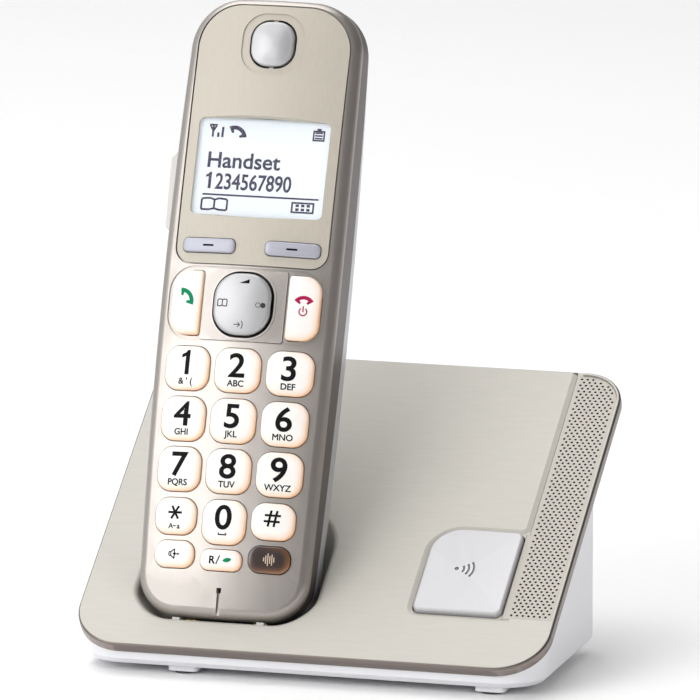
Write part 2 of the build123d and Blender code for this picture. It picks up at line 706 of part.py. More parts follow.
def cradle_mouth(cover):
    """Edges where the cradle opens through the sloping top."""
    to_top = TOP.location.inverse()
    edges = []
    for edge in cover.edges():
        marks = [(to_top * Location(edge.position_at(u))).position for u in (0.05, 0.5, 0.95)]
        level = max(abs(mark.Z) for mark in marks) < 0.02
        inside = all(HS_X - 30 < mark.X < HS_X + 28 and 5 < mark.Y < 58 for mark in marks)
        if level and inside:
            edges.append(edge)
    return edges


def make_top_cover():
    slab = between(top_face(0), -COVER_T, 0)
    slab = fillet(slab.faces().sort_by(Axis.Z)[-1].edges(), RIM_ROUND)
    slab = slab - between(strip_face(0), -STRIP_DEPTH, 1)
    slab = slab - between(button_face(BUTTON_GAP), -5, 5)
    slab = slab - sloping_step()
    for x, t in ((29.5, 15.5), (47.5, 15.5), (29.5, 53.0), (47.5, 53.0)):
        slab = slab + between(Pos(x, t) * Circle(2.0), -7.2, -COVER_T)
    slab = TOP.location * slab
    below = TOP.location * block((-90, 90), (-30, 150), (-60, -0.6))
    cup = cradle_form(CRADLE_WALL) & below
    cover = slab + cup - cradle_form(0)
    cover = fillet(cradle_mouth(cover), CRADLE_LIP)
    floor = -CRADLE_GAP
    for side in (-1, 1):
        rib = block((side * RIB_X - 1.0, side * RIB_X + 1.0), (floor - 1.0, -0.15), RIB_H)
        cover = cover + HANDSET.location * rib
        slot = block((side * CONTACT_X - 1.8, side * CONTACT_X + 1.8), (-8, 2),
                     (CONTACT_H[0] - 0.3, CONTACT_H[1] + 0.3))
        cover = cover - HANDSET.location * slot
    for x, y in BASE_SCREWS:
        post = Pos(x, y, 0) * between(Circle(BOSS_R), rear_height(y) - 9.0, 60)
        cover = cover + (post & below_cover())
        cover = cover - Pos(x, y, 0) * between(Circle(SCREW_R), 0, rear_height(y) - 1.5)
    return cover


def rear_height(y):
    """Height of the cover's underside over a point of the base plan."""
    angle = math.radians(SLOPE_DEG)
    return EDGE_Z + y * math.tan(angle) - COVER_T / math.cos(angle)


def below_cover():
    return TOP.location * block((-90, 90), (-30, 150), (-90, -COVER_T + 0.01))


def housing_form(inset):
    """Wedge under the cover: front wall, underside, rounded rear foot and upright rear wall."""
    half = BASE_W / 2 - HOUSING_INSET - inset
    low = HOUSING_Z + inset
    front = 2.4 + inset
    rear = REAR_WALL_Y - inset
    profile = make_face([Polyline((front, low), (rear, low), (rear, 90), (front, 90), (front, low))])
    heel = profile.vertices().group_by(Axis.Y)[0].sort_by(Axis.X)[-1:]
    profile = fillet(heel, HOUSING_FOOT_R - inset)
    side_plane = Plane(origin=(0, 0, 0), x_dir=(0, 1, 0), z_dir=(1, 0, 0))
    body = extrude(side_plane * profile, amount=half, both=True)
    plan = Pos(0, (front + rear) / 2) * Rectangle(2 * half, rear - front)
    plan = fillet(plan.vertices().group_by(Axis.Y)[0], COVER_FOOT_R - HOUSING_INSET - inset)
    plan = fillet(plan.vertices().sort_by(Axis.Y)[-2:], REAR_CORNER_R - inset)
    turn = low + UNDERCUT
    foot = loft([Pos(0, 0, low) * offset(plan, amount=-UNDERCUT), Pos(0, 0, turn) * plan])
    return body & (between(plan, turn, 100) + foot)


def make_housing():
    under = TOP.location * block((-90, 90), (-30, 150), (-90, -COVER_T))
    outer = housing_form(0) & under
    inner = housing_form(HOUSING_WALL)
    backing = between(top_face(HOUSING_INSET), -COVER_T - BACKING_T, -COVER_T)
    backing = fillet(backing.faces().sort_by(Axis.Z)[0].edges(), 1.6)
    backing = TOP.location * (backing & block((-90, 90), (60, 150), (-20, 0)))
    shell = outer + backing - inner
    for x, y in BASE_SCREWS:
        post = Pos(x, y, 0) * between(Circle(BOSS_R), HOUSING_Z + 0.5, rear_height(y) - 9.1)
        shell = shell + post
        shell = shell - Pos(x, y, 0) * between(Circle(SCREW_R + FIT), 0, 90)
        shell = shell - Pos(x, y, 0) * between(Circle(2.4), 0, HOUSING_Z + 2.4)
    for jack_x, size in ((LINE_JACK_X, LINE_JACK_SIZE), (POWER_JACK_X, POWER_JACK_SIZE)):
        z = BASE_PCB_Z[1]
        shell = shell - block((jack_x[0] - 0.1, jack_x[1] + 0.1), (REAR_WALL_Y - 5, REAR_WALL_Y + 5),
                              (z - 0.1, z + size[2] + 0.1))
    for x, y in ((12.0, 30.0), (30.0, 30.0), (12.0, 52.0), (47.0, 40.0)):
        shell = shell + Pos(x, y, 0) * between(Circle(1.8), HOUSING_Z + 0.5, BASE_PCB_Z[0])
    for x, y in FEET:
        foot = rounded(x, y, FOOT_SIZE[0], FOOT_SIZE[1], FOOT_CORNER_R)
        shell = shell + between(foot, PAD_T, HOUSING_Z + 0.3)
    return shell


def make_socket(jack_x, size, hole):
    """Socket body facing the rear, with its plug cavity."""
    z0 = BASE_PCB_Z[1]
    y1 = REAR_WALL_Y - 0.1
    body = block(jack_x, (y1 - size[1], y1), (z0, z0 + size[2]))
    x = sum(jack_x) / 2
    z = z0 + size[2] / 2
    xs = (x - hole[0] / 2, x + hole[0] / 2)
    zs = (z - hole[2] / 2, z + hole[2] / 2)
    return body - block(xs, (y1 - hole[1], y1 + 1), zs)


def make_base_pcb():
    pcb = block(BASE_PCB_X, BASE_PCB_Y, BASE_PCB_Z)
    for x, y in BASE_SCREWS:
        pcb = pcb - Pos(x, y, 0) * between(Circle(BOSS_R + 0.5), 0, 30)
    return pcb


def make_charge_contacts():
    tongues = []
    for side in (-1, 1):
        x = side * CONTACT_X
        tongue = block((x - 1.4, x + 1.4), (-4.6, -0.1), CONTACT_H)
        tongues.append(tongue + block((x - 2.4, x + 2.4), (-5.0, -4.2), CONTACT_H))
    return HANDSET.location * Compound(children=tongues)


def make_locator_button():
    cap = between(button_face(0), -COVER_T - 1.0, BUTTON_PROUD)
    cap = fillet(cap.faces().sort_by(Axis.Z)[-1].edges(), 0.7)
    flange = between(button_face(1.1), -COVER_T - 1.0, -COVER_T - 0.2)
    return TOP.location * (cap + flange)


def make_base_screws():
    screws = []
    for x, y in BASE_SCREWS:
        seat = HOUSING_Z + 2.4
        top = rear_height(y) - 2.0
        head = Pos(x, y, seat - 0.8) * (Cylinder(2.1, 1.6) - Pos(0, 0, -0.6) * Box(2.6, 0.5, 0.6))
        screws.append(head + Pos(x, y, 0) * between(Circle(SCREW_R), seat - 0.01, top))
    return Compound(children=screws)


def make_base():
    x_mid = sum(BUTTON_X) / 2
    t_mid = sum(BUTTON_T) / 2
    board = between(rounded(38.5, t_mid, 24, 42, 2.0), -8.6, -7.2)
    switch = between(rounded(x_mid, t_mid, 6.2, 6.2, 0.6), -7.2, -5.9)
    switch = switch + between(Pos(x_mid, t_mid) * Circle(1.6), -5.9, -5.2)
    strip = between(strip_face(STRIP_GAP), -STRIP_DEPTH, -STRIP_DEPTH + STRIP_T)
    pads = [Pos(x, y, 0) * between(Circle(PAD_R), 0, PAD_T) for x, y in FEET]
    return {
        "base_top_cover": make_top_cover(),
        "base_housing": make_housing(),
        "perforated_strip": TOP.location * strip,
        "locator_button": make_locator_button(),
        "button_board": TOP.location * board,
        "locator_switch": TOP.location * switch,
        "base_circuit_board": make_base_pcb(),
        "line_socket": make_socket(LINE_JACK_X, LINE_JACK_SIZE, LINE_SOCKET),
        "power_socket": make_socket(POWER_JACK_X, POWER_JACK_SIZE, POWER_SOCKET),
        "base_antenna": block((57.0, 57.8), (26, 44), (BASE_PCB_Z[1], BASE_PCB_Z[1] + 7)),
        "charge_contacts": make_charge_contacts(),
        "base_screws": make_base_screws(),
        "foot_pads": Compound(children=pads),
    }


def bounds(parts):
    """Lowest and highest corner of all parts."""
    boxes = [part.bounding_box() for part in parts]
    low = [min(getattr(box.min, axis) for box in boxes) for axis in "XYZ"]
    high = [max(getattr(box.max, axis) for box in boxes) for axis in "XYZ"]
    return low, high


PARTS = make_base()
PARTS.update(make_handset())
LOW, HIGH = bounds(PARTS.values())
CENTRE_Y = (LOW[1] + HIGH[1]) / 2

os.makedirs("parts", exist_ok=True)
for node, part in PARTS.items():
    export_step(Pos(0, -CENTRE_Y, 0) * part, "parts/%s.step" % node)
print("centre y", round(CENTRE_Y, 4), "x", LOW[0], HIGH[0], "z", LOW[2], HIGH[2])
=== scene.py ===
import json
import math

import bmesh
import bpy
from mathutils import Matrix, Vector
from mathutils.geometry import delaunay_2d_cdt


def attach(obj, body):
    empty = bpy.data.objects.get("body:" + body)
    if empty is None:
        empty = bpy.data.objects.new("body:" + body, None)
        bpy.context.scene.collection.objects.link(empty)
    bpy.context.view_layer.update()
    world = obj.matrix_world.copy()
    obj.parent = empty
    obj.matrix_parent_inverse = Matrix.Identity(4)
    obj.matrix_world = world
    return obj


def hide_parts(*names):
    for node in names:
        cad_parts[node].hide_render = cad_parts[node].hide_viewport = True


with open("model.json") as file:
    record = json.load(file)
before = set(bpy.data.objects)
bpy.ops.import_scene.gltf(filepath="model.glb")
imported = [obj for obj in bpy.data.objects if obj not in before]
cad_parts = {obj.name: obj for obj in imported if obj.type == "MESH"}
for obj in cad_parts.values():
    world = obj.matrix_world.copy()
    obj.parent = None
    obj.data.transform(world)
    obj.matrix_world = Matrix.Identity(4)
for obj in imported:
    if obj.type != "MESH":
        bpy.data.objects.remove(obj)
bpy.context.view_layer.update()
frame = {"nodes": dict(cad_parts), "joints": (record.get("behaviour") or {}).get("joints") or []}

# Looks of a cordless telephone standing in its charging base.
# Lengths below are in millimetres on the object's own surfaces; MM turns them into the scene's metres.
MM = 0.001
NODES = frame["nodes"]
JOINTS = {joint["name"]: joint for joint in frame["joints"]}
ACROSS = Vector((1, 0, 0))

# crown of the handset's face, and the places of what stands on it
FACE_CROSS_R = 101.0
FACE_LONG_R = 1163.0
FACE_MID_S = 59.0
NAV_X, NAV_S, NAV_PIVOT_H = -0.3, 85.3, -5.9
NAV_SIZE = (15.8, 16.8)
WINDOW_MID_S = 123.3
LCD_TOP_H = -3.1
EAR_S = 157.5
BAND_H = -11.8          # where the rear cover turns silver at the foot
BAND_SLOPE = 0.030      # it is further back towards the head
BAND_SOFTNESS = 0.12    # half the width over which one paint gives way to the other
BUTTON_PROUD = 0.9
PLATE_W, PLATE_L = 132.2, 111.5
PLATE_RADII = (14.0, 14.0, 11.0, 11.0)
RIM_PAINT_W = 0.9       # the rim's metal reaches this far in from the plate's outline
RIM_PAINT_LOW = -3.05   # and down to this level
RIM_FACING = 0.92       # faces that look more nearly straight out of the plate stay champagne


# ---------------------------------------------------------------- places

class Surface:
    """A local frame on the object: x across, s up the surface, h out of it, in millimetres."""

    def __init__(self, origin, up, out):
        self.origin = origin
        self.up = up
        self.out = out

    def point(self, x, s, h):
        return self.origin + (ACROSS * x + self.up * s + self.out * h) * MM

    def read(self, co):
        """x, s and h of a point of the scene."""
        way = (co - self.origin) / MM
        return way.dot(ACROSS), way.dot(self.up), way.dot(self.out)


def handset_surface():
    up = Vector(JOINTS["handset_lift"]["axis"])
    out = -Vector(JOINTS["key_5_press"]["axis"])
    pivot = Vector(JOINTS["navigation_tilt_up_down"]["pos_m"])
    origin = pivot - (ACROSS * NAV_X + up * NAV_S + out * NAV_PIVOT_H) * MM
    return Surface(origin, up, out)


def window_surface():
    """Frame tangent to the face at the middle of the display window."""
    run = WINDOW_MID_S - FACE_MID_S
    tilt = math.asin(run / FACE_LONG_R)
    drop = FACE_LONG_R * (1 - math.cos(tilt))
    up = HANDSET.up * math.cos(tilt) - HANDSET.out * math.sin(tilt)
    out = HANDSET.out * math.cos(tilt) + HANDSET.up * math.sin(tilt)
    return Surface(HANDSET.point(0, WINDOW_MID_S, -drop), up, out)


def plate_surface():
    out = -Vector(JOINTS["locator_button_press"]["axis"])
    up = out.cross(ACROSS)
    high = max(v.co.dot(out) for v in NODES["locator_button"].data.vertices)
    low = min(v.co.dot(up) for v in NODES["base_top_cover"].data.vertices)
    return Surface(up * low + out * (high - BUTTON_PROUD * MM), up, out)


HANDSET = handset_surface()
WINDOW = window_surface()
PLATE = plate_surface()


def face_height(x, s):
    """Height of the handset's crowned face."""
    return -x * x / (2 * FACE_CROSS_R) - (s - FACE_MID_S) ** 2 / (2 * FACE_LONG_R)


# ---------------------------------------------------------------- materials

EDGE_POINTINESS = (0.52, 0.62)      # edge brightening starts and is full here; 0.5 is flat

def new_material(name):
    mat = bpy.data.materials.new(name)
    mat.use_nodes = True
    return mat, mat.node_tree.nodes, mat.node_tree.links, mat.node_tree.nodes["Principled BSDF"]


def noise(nodes, links, scale, stretch=(1, 1, 1), detail=3.0):
    """Noise on the object's own coordinates; stretch below 1 draws it out along that axis."""
    place = nodes.new("ShaderNodeTexCoord")
    mapping = nodes.new("ShaderNodeMapping")
    mapping.inputs["Scale"].default_value = stretch
    links.new(place.outputs["Object"], mapping.inputs["Vector"])
    texture = nodes.new("ShaderNodeTexNoise")
    texture.inputs["Scale"].default_value = scale
    texture.inputs["Detail"].default_value = detail
    links.new(mapping.outputs["Vector"], texture.inputs["Vector"])
    return texture.outputs["Fac"]


def ramp(nodes, links, value, low, high, at=(0.3, 0.7)):
    """Colour from low to high as value passes between two places."""
    node = nodes.new("ShaderNodeValToRGB")
    node.color_ramp.elements[0].position = at[0]
    node.color_ramp.elements[1].position = at[1]
    node.color_ramp.elements[0].color = (*low, 1)
    node.color_ramp.elements[1].color = (*high, 1)
    links.new(value, node.inputs["Fac"])
    return node.outputs["Color"]


def rescale(nodes, links, value, low, high):
    node = nodes.new("ShaderNodeMapRange")
    node.inputs["To Min"].default_value = low
    node.inputs["To Max"].default_value = high
    links.new(value, node.inputs["Value"])
    return node.outputs["Result"]


def blend_colour(nodes, links, factor, first, second):
    """Mix of two colours, each a socket or three numbers."""
    node = nodes.new("ShaderNodeMix")
    node.data_type = "RGBA"
    links.new(factor, node.inputs["Factor"])
    for socket, value in ((node.inputs["A"], first), (node.inputs["B"], second)):
        if isinstance(value, tuple):
            socket.default_value = (*value, 1)
        else:
            links.new(value, socket)
    return node.outputs["Result"]


def bump(nodes, links, shader, height, distance, strength):
    node = nodes.new("ShaderNodeBump")
    node.inputs["Distance"].default_value = distance * MM
    node.inputs["Strength"].default_value = strength
    links.new(height, node.inputs["Height"])
    links.new(node.outputs["Normal"], shader.inputs["Normal"])


def shade(colour, factor):
    return tuple(min(1.0, channel * factor) for channel in colour)


def worn_edges(nodes, links, colour, bright):
    """Convex corners painted a little brighter, from how convex the surface is there; on the rim it is a
    strong painted highlight.
    """
    geometry = nodes.new("ShaderNodeNewGeometry")
    edge = nodes.new("ShaderNodeMapRange")
    edge.inputs["From Min"].default_value = EDGE_POINTINESS[0]
    edge.inputs["From Max"].default_value = EDGE_POINTINESS[1]
    links.new(geometry.outputs["Pointiness"], edge.inputs["Value"])
    return blend_colour(nodes, links, edge.outputs["Result"], colour, bright)


def paint(name, colour, metallic, roughness, grain=2500, stretch=(1, 1, 1), variation=0.06, depth=0.004,
          coat=0.0, edge_brightening=0.0, specular=0.5):
    """Plastic or metallic paint: cloudy colour, fine grain in its colour, gloss and surface."""
    mat, nodes, links, shader = new_material(name)
    shader.inputs["Metallic"].default_value = metallic
    shader.inputs["Coat Weight"].default_value = coat
    shader.inputs["Coat Roughness"].default_value = 0.12
    shader.inputs["Specular IOR Level"].default_value = specular
    fine = noise(nodes, links, grain, stretch, 2.0)
    cloud = noise(nodes, links, 30.0)
    speckled = ramp(nodes, links, fine, shade(colour, 1 - variation), shade(colour, 1 + variation))
    clouded = ramp(nodes, links, cloud, shade(colour, 1 - 0.5 * variation),
                   shade(colour, 1 + 0.5 * variation))
    half = nodes.new("ShaderNodeValue")
    half.outputs[0].default_value = 0.5
    mixed = blend_colour(nodes, links, half.outputs[0], speckled, clouded)
    if edge_brightening:
        mixed = worn_edges(nodes, links, mixed, shade(colour, 1 + edge_brightening))
    links.new(mixed, shader.inputs["Base Color"])
    links.new(rescale(nodes, links, fine, roughness - 0.05, roughness + 0.05), shader.inputs["Roughness"])
    bump(nodes, links, shader, fine, depth, 0.35)
    return mat


def banded_paint(name, front, rear, metallic, roughness):
    """Handset's rear cover: a dark metallic side that gives way to silver behind a sloping line."""
    mat = paint(name, front, metallic, roughness, 2600)
    nodes, links = mat.node_tree.nodes, mat.node_tree.links
    place = nodes.new("ShaderNodeTexCoord")
    depth = nodes.new("ShaderNodeVectorMath")
    depth.operation = "DOT_PRODUCT"
    line = (HANDSET.out + HANDSET.up * BAND_SLOPE).normalized()
    depth.inputs[1].default_value = line
    links.new(place.outputs["Object"], depth.inputs[0])
    edge = nodes.new("ShaderNodeMapRange")
    level = HANDSET.point(0, 0, BAND_H).dot(line)
    edge.inputs["From Min"].default_value = level - BAND_SOFTNESS * MM
    edge.inputs["From Max"].default_value = level + BAND_SOFTNESS * MM
    links.new(depth.outputs["Value"], edge.inputs["Value"])
    base = nodes["Principled BSDF"].inputs["Base Color"]
    dark = base.links[0].from_socket
    links.new(blend_colour(nodes, links, edge.outputs["Result"], rear, dark), base)
    return mat


def ink(name, colour, variation=0.12, depth=0.002):
    """Matt printing ink."""
    return paint(name, colour, 0.0, 0.6, 2500, (1, 1, 1), variation, depth, specular=0.1)


def glow_paint(name, colour, painted_glow_colour, roughness, coat):
    """Key plastic with a painted glow on its lower and right-hand edges, by the attribute that the key's mesh
    carries.
    """
    mat, nodes, links, shader = new_material(name)
    shader.inputs["Coat Weight"].default_value = coat
    shader.inputs["Coat Roughness"].default_value = 0.08
    shader.inputs["Subsurface Weight"].default_value = 0.12
    shader.inputs["Subsurface Scale"].default_value = 1.2 * MM
    attribute = nodes.new("ShaderNodeAttribute")
    attribute.attribute_name = "glow"
    fine = noise(nodes, links, 1800.0)
    cloud = noise(nodes, links, 160.0)
    body = ramp(nodes, links, cloud, shade(colour, 0.975), shade(colour, 1.02))
    lit = blend_colour(nodes, links, attribute.outputs["Fac"], body, painted_glow_colour)
    links.new(lit, shader.inputs["Base Color"])
    links.new(rescale(nodes, links, fine, roughness - 0.04, roughness + 0.05), shader.inputs["Roughness"])
    bump(nodes, links, shader, fine, 0.003, 0.25)
    return mat


def display_paint():
    """Bluish white picture with a faint grid of cells, lit from behind."""
    mat, nodes, links, shader = new_material("display_picture")
    place = nodes.new("ShaderNodeTexCoord")
    cells = nodes.new("ShaderNodeTexChecker")
    cells.inputs["Scale"].default_value = 3200.0
    cells.inputs["Color1"].default_value = (0.74, 0.80, 0.86, 1)
    cells.inputs["Color2"].default_value = (0.76, 0.82, 0.88, 1)
    links.new(place.outputs["Object"], cells.inputs["Vector"])
    cloud = noise(nodes, links, 55.0)
    picture = blend_colour(nodes, links, rescale(nodes, links, cloud, 0.0, 0.35),
                           cells.outputs["Color"], (0.80, 0.85, 0.90))
    links.new(picture, shader.inputs["Base Color"])
    links.new(picture, shader.inputs["Emission Color"])
    shader.inputs["Emission Strength"].default_value = 0.12
    links.new(rescale(nodes, links, cloud, 0.30, 0.42), shader.inputs["Roughness"])
    bump(nodes, links, shader, cells.outputs["Color"], 0.002, 0.2)
    return mat


def clear_paint():
    """Clear window: mostly see-through, with a soft gloss and faint dust."""
    mat, nodes, links, shader = new_material("clear_window")
    dust = noise(nodes, links, 700.0)
    links.new(ramp(nodes, links, dust, (0.90, 0.93, 0.96), (0.98, 0.99, 1.0)), shader.inputs["Base Color"])
    links.new(rescale(nodes, links, dust, 0.03, 0.10), shader.inputs["Roughness"])
    shader.inputs["Alpha"].default_value = 0.04
    bump(nodes, links, shader, dust, 0.001, 0.1)
    return mat


def board_paint():
    """Green solder mask with paler tracks and plated pads."""
    mat, nodes, links, shader = new_material("circuit_board")
    place = nodes.new("ShaderNodeTexCoord")
    tracks = nodes.new("ShaderNodeTexBrick")
    tracks.inputs["Scale"].default_value = 260.0
    tracks.inputs["Mortar Size"].default_value = 0.03
    tracks.inputs["Color1"].default_value = (0.020, 0.150, 0.060, 1)
    tracks.inputs["Color2"].default_value = (0.025, 0.180, 0.075, 1)
    tracks.inputs["Mortar"].default_value = (0.060, 0.320, 0.150, 1)
    links.new(place.outputs["Object"], tracks.inputs["Vector"])
    pads = nodes.new("ShaderNodeTexVoronoi")
    pads.inputs["Scale"].default_value = 420.0
    links.new(place.outputs["Object"], pads.inputs["Vector"])
    on_pad = nodes.new("ShaderNodeMath")
    on_pad.operation = "LESS_THAN"
    on_pad.inputs[1].default_value = 0.16
    links.new(pads.outputs["Distance"], on_pad.inputs[0])
    colour = blend_colour(nodes, links, on_pad.outputs[0], tracks.outputs["Color"], (0.75, 0.60, 0.30))
    links.new(colour, shader.inputs["Base Color"])
    links.new(rescale(nodes, links, noise(nodes, links, 900.0), 0.25, 0.4), shader.inputs["Roughness"])
    bump(nodes, links, shader, tracks.outputs["Fac"], 0.02, 0.4)
    return mat


PAINT = {
    "plate": paint("champagne_plate", (0.515, 0.496, 0.448), 0.10, 0.50, 1100, (0.12, 1, 1), 0.05, 0.004),
    # the rim's convex bevel edges are painted 2.6 times brighter: a painted highlight between the plate top
    # and the rim
    "rim": paint("rim_metal", (0.215, 0.185, 0.170), 0.80, 0.30, 1600, (0.3, 1, 1), 0.08, 0.003, edge_brightening=1.6),
    "dots": paint("strip_champagne", (0.420, 0.395, 0.352), 0.25, 0.46, 1800),
    # near-black painted shade for the floors and walls of the strip's shallow dot holes
    "dot_shade": paint("painted_hole_shade", (0.055, 0.050, 0.046), 0.0, 0.7, 1500, (1, 1, 1), 0.2, 0.01),
    "housing": paint("white_housing", (0.80, 0.80, 0.83), 0.0, 0.38, 1400, (1, 1, 1), 0.02, 0.006),
    "button": paint("silver_button", (0.520, 0.515, 0.528), 0.18, 0.38, 2600, depth=0.006, edge_brightening=0.15),
    "engraved": paint("engraved_mark", (0.17, 0.17, 0.175), 0.3, 0.5, 2000, (1, 1, 1), 0.1, 0.006),
    "face": paint("handset_face", (0.400, 0.370, 0.345), 0.80, 0.36, 3000, edge_brightening=0.25),
    "side": banded_paint("handset_side", (0.130, 0.108, 0.104), (0.60, 0.61, 0.64), 0.75, 0.34),
    "back": paint("handset_back", (0.62, 0.63, 0.66), 0.35, 0.36, 2600, (1, 1, 1), 0.04, 0.004),
    "side_key": paint("side_key", (0.46, 0.445, 0.425), 0.45, 0.36, 2600, variation=0.05, edge_brightening=0.2),
    "panel": paint("trim_panel", (0.510, 0.470, 0.400), 0.12, 0.46, 1500, (1, 0.25, 0.25), 0.05, 0.004),
    "satin": paint("satin_chrome", (0.50, 0.50, 0.51), 0.55, 0.42, 2200, (1, 1, 1), 0.03, 0.002),
    "gloss_black": paint("gloss_black", (0.018, 0.017, 0.018), 0.0, 0.18, 1500, variation=0.2, depth=0.002,
                         coat=0.6),
    "soft": paint("soft_key", (0.43, 0.435, 0.50), 0.20, 0.36, 2200, (1, 1, 1), 0.04, 0.003),
    "black": paint("black_plastic", (0.030, 0.030, 0.033), 0.0, 0.5, 1600, (1, 1, 1), 0.2, 0.01),
    "silicone": paint("silicone", (0.50, 0.50, 0.51), 0.0, 0.6, 1500, (1, 1, 1), 0.05, 0.01),
    "rubber": paint("rubber_pad", (0.085, 0.085, 0.088), 0.0, 0.8, 1300, (1, 1, 1), 0.15, 0.02),
    "steel": paint("plated_steel", (0.60, 0.60, 0.62), 1.0, 0.28, 1800, (1, 0.1, 0.1), 0.08, 0.003, edge_brightening=0.3),
    "gold": paint("gold_contact", (0.83, 0.62, 0.26), 1.0, 0.25, 1800, (0.2, 1, 1), 0.08, 0.003, edge_brightening=0.2),
    "jacket": paint("cell_jacket", (0.10, 0.27, 0.22), 0.3, 0.3, 900, (1, 0.2, 0.2), 0.12, 0.003, coat=0.5),
    "ink": ink("black_legend", (0.006, 0.006, 0.007), 0.25),
    "green_ink": ink("green_legend", (0.004, 0.240, 0.100)),
    "red_ink": ink("crimson_legend", (0.420, 0.012, 0.080)),
    "grey_ink": ink("grey_legend", (0.050, 0.050, 0.055)),
    "pale_ink": paint("pale_legend", (0.70, 0.55, 0.42), 0.2, 0.4, 2500, (1, 1, 1), 0.08, 0.002),
    "lcd_ink": ink("display_marks", (0.022, 0.009, 0.055), depth=0.001),
    # white and brown keys carry a painted orange or brown glow on their lower right edges
    "key": glow_paint("white_key", (0.94, 0.905, 0.865), (0.99, 0.60, 0.35), 0.30, 0.15),
    "brown_key": glow_paint("brown_key", (0.030, 0.018, 0.016), (0.30, 0.13, 0.05), 0.14, 0.8),
    "display": display_paint(),
    "window": clear_paint(),
    "board": board_paint(),
}

# the paint of each CAD node that stays as it is and has only one
NODE_PAINT = {
    "base_housing": "housing", "line_socket": "black", "power_socket": "black",
    "foot_pads": "rubber", "button_board": "board", "locator_switch": "black", "base_circuit_board": "board",
    "base_antenna": "steel", "base_screws": "steel", "charge_contacts": "gold",
    "handset_front_cover": "face", "handset_rear_cover": "side", "display_panel": "panel",
    "display_window": "window", "navigation_bezel": "face", "lcd_module": "display",
    "navigation_bracket": "black", "keypad_mat": "silicone", "handset_circuit_board": "board",
    "receiver_speaker": "black", "hands_free_speaker": "black", "microphone": "steel",
    "handset_antenna": "steel", "handset_charge_contacts": "gold", "battery_left": "jacket",
    "battery_right": "jacket", "battery_contacts": "steel", "handset_screws": "steel",
    "battery_door": "back", "side_key": "side_key", "navigation_gimbal": "black",
    "navigation_key": "gloss_black",
}


def dress(node, *names):
    """Gives a CAD node its paints."""
    mesh = NODES[node].data
    mesh.materials.clear()
    for name in names:
        mesh.materials.append(PAINT[name])


def dress_nodes():
    for node, name in NODE_PAINT.items():
        dress(node, name)
    dress("base_top_cover", "plate", "rim")
    for face in NODES["base_top_cover"].data.polygons:
        x, t, level = PLATE.read(face.center)
        edge = depth_inside(x, t - PLATE_L / 2, PLATE_W, PLATE_L, PLATE_RADII) < RIM_PAINT_W
        rim = edge and level > RIM_PAINT_LOW and face.normal.dot(PLATE.out) < RIM_FACING
        face.material_index = 1 if rim else 0


# ---------------------------------------------------------------- flat outlines

CAPITAL_H = 0.729       # height of a capital in the built-in typeface at size 1

def rounded_outline(width, height, radii, inset=0.0, arc_steps=7, edge_steps=5):
    """Rectangle with its own radius at each corner, from the lower left, anticlockwise."""
    arcs = []
    spare = min(width, height) / 2 - inset
    for (side, end), corner in zip(((-1, -1), (1, -1), (1, 1), (-1, 1)), radii):
        radius = min(max(corner - inset, 0.45 * inset), spare)
        x = side * (width / 2 - inset - radius)
        y = end * (height / 2 - inset - radius)
        start = math.atan2(end, side) - math.pi / 4
        turns = [start + math.pi / 2 * step / arc_steps for step in range(arc_steps + 1)]
        arcs.append([(x + radius * math.cos(turn), y + radius * math.sin(turn)) for turn in turns])
    points = []
    for index, arc in enumerate(arcs):
        x0, y0 = arc[-1]
        x1, y1 = arcs[(index + 1) % 4][0]
        points += arc
        for step in range(1, edge_steps):
            share = step / edge_steps
            points.append((x0 + (x1 - x0) * share, y0 + (y1 - y0) * share))
    return points


def depth_inside(x, y, width, height, radii):
    """Distance from a point to that outline, positive inside."""
    corner = radii[(2 if x > 0 else 3) if y > 0 else (1 if x > 0 else 0)]
    dx = abs(x) - width / 2 + corner
    dy = abs(y) - height / 2 + corner
    return corner - math.hypot(max(dx, 0), max(dy, 0)) - min(max(dx, dy), 0)


def arc(x, y, radius, start, end, steps=14):
    """Points on an arc, angles in degrees."""
    turns = [math.radians(start + (end - start) * step / steps) for step in range(steps + 1)]
    return [(x + radius * math.cos(turn), y + radius * math.sin(turn)) for turn in turns]


def disc(x, y, radius, steps=20):
    return arc(x, y, radius, 0, 360 - 360 / steps, steps - 1)


def ring(x, y, radius, width, steps=24):
    return [disc(x, y, radius + width / 2, steps), disc(x, y, radius - width / 2, steps)]


def band(x, y, radius, width, start, end):
    """Piece of a ring, closed."""
    return arc(x, y, radius + width / 2, start, end) + arc(x, y, radius - width / 2, end, start)


def bar(x0, y0, x1, y1):
    return [(x0, y0), (x1, y0), (x1, y1), (x0, y1)]


def stroke(x0, y0, x1, y1, width):
    """Straight line with a width."""
    length = math.hypot(x1 - x0, y1 - y0)
    dx = (y0 - y1) / length * width / 2
    dy = (x1 - x0) / length * width / 2
    return [(x0 - dx, y0 - dy), (x1 - dx, y1 - dy), (x1 + dx, y1 + dy), (x0 + dx, y0 + dy)]


def moved(loops, x, y, degrees=0.0, size=1.0):
    """Loops turned, scaled and shifted."""
    cos = math.cos(math.radians(degrees)) * size
    sin = math.sin(math.radians(degrees)) * size
    return [[(x + px * cos - py * sin, y + px * sin + py * cos) for px, py in loop] for loop in loops]


def receiver():
    """Telephone receiver, one unit wide from its middle to its ends."""
    reach, bend = 55, 33            # angles to its ends and to the inner corners, from the middle
    centre_y, back_r, end_r, waist_r = -0.62, 1.22, 0.52, 0.84
    outer = arc(0, centre_y, back_r, 90 - reach, 90 + reach)
    left = arc(0, centre_y, end_r, 90 + reach, 90 + bend, 5)
    waist = arc(0, centre_y, waist_r, 90 + bend, 90 - bend, 9)
    right = arc(0, centre_y, end_r, 90 - bend, 90 - reach, 5)
    return [outer + left + waist + right]


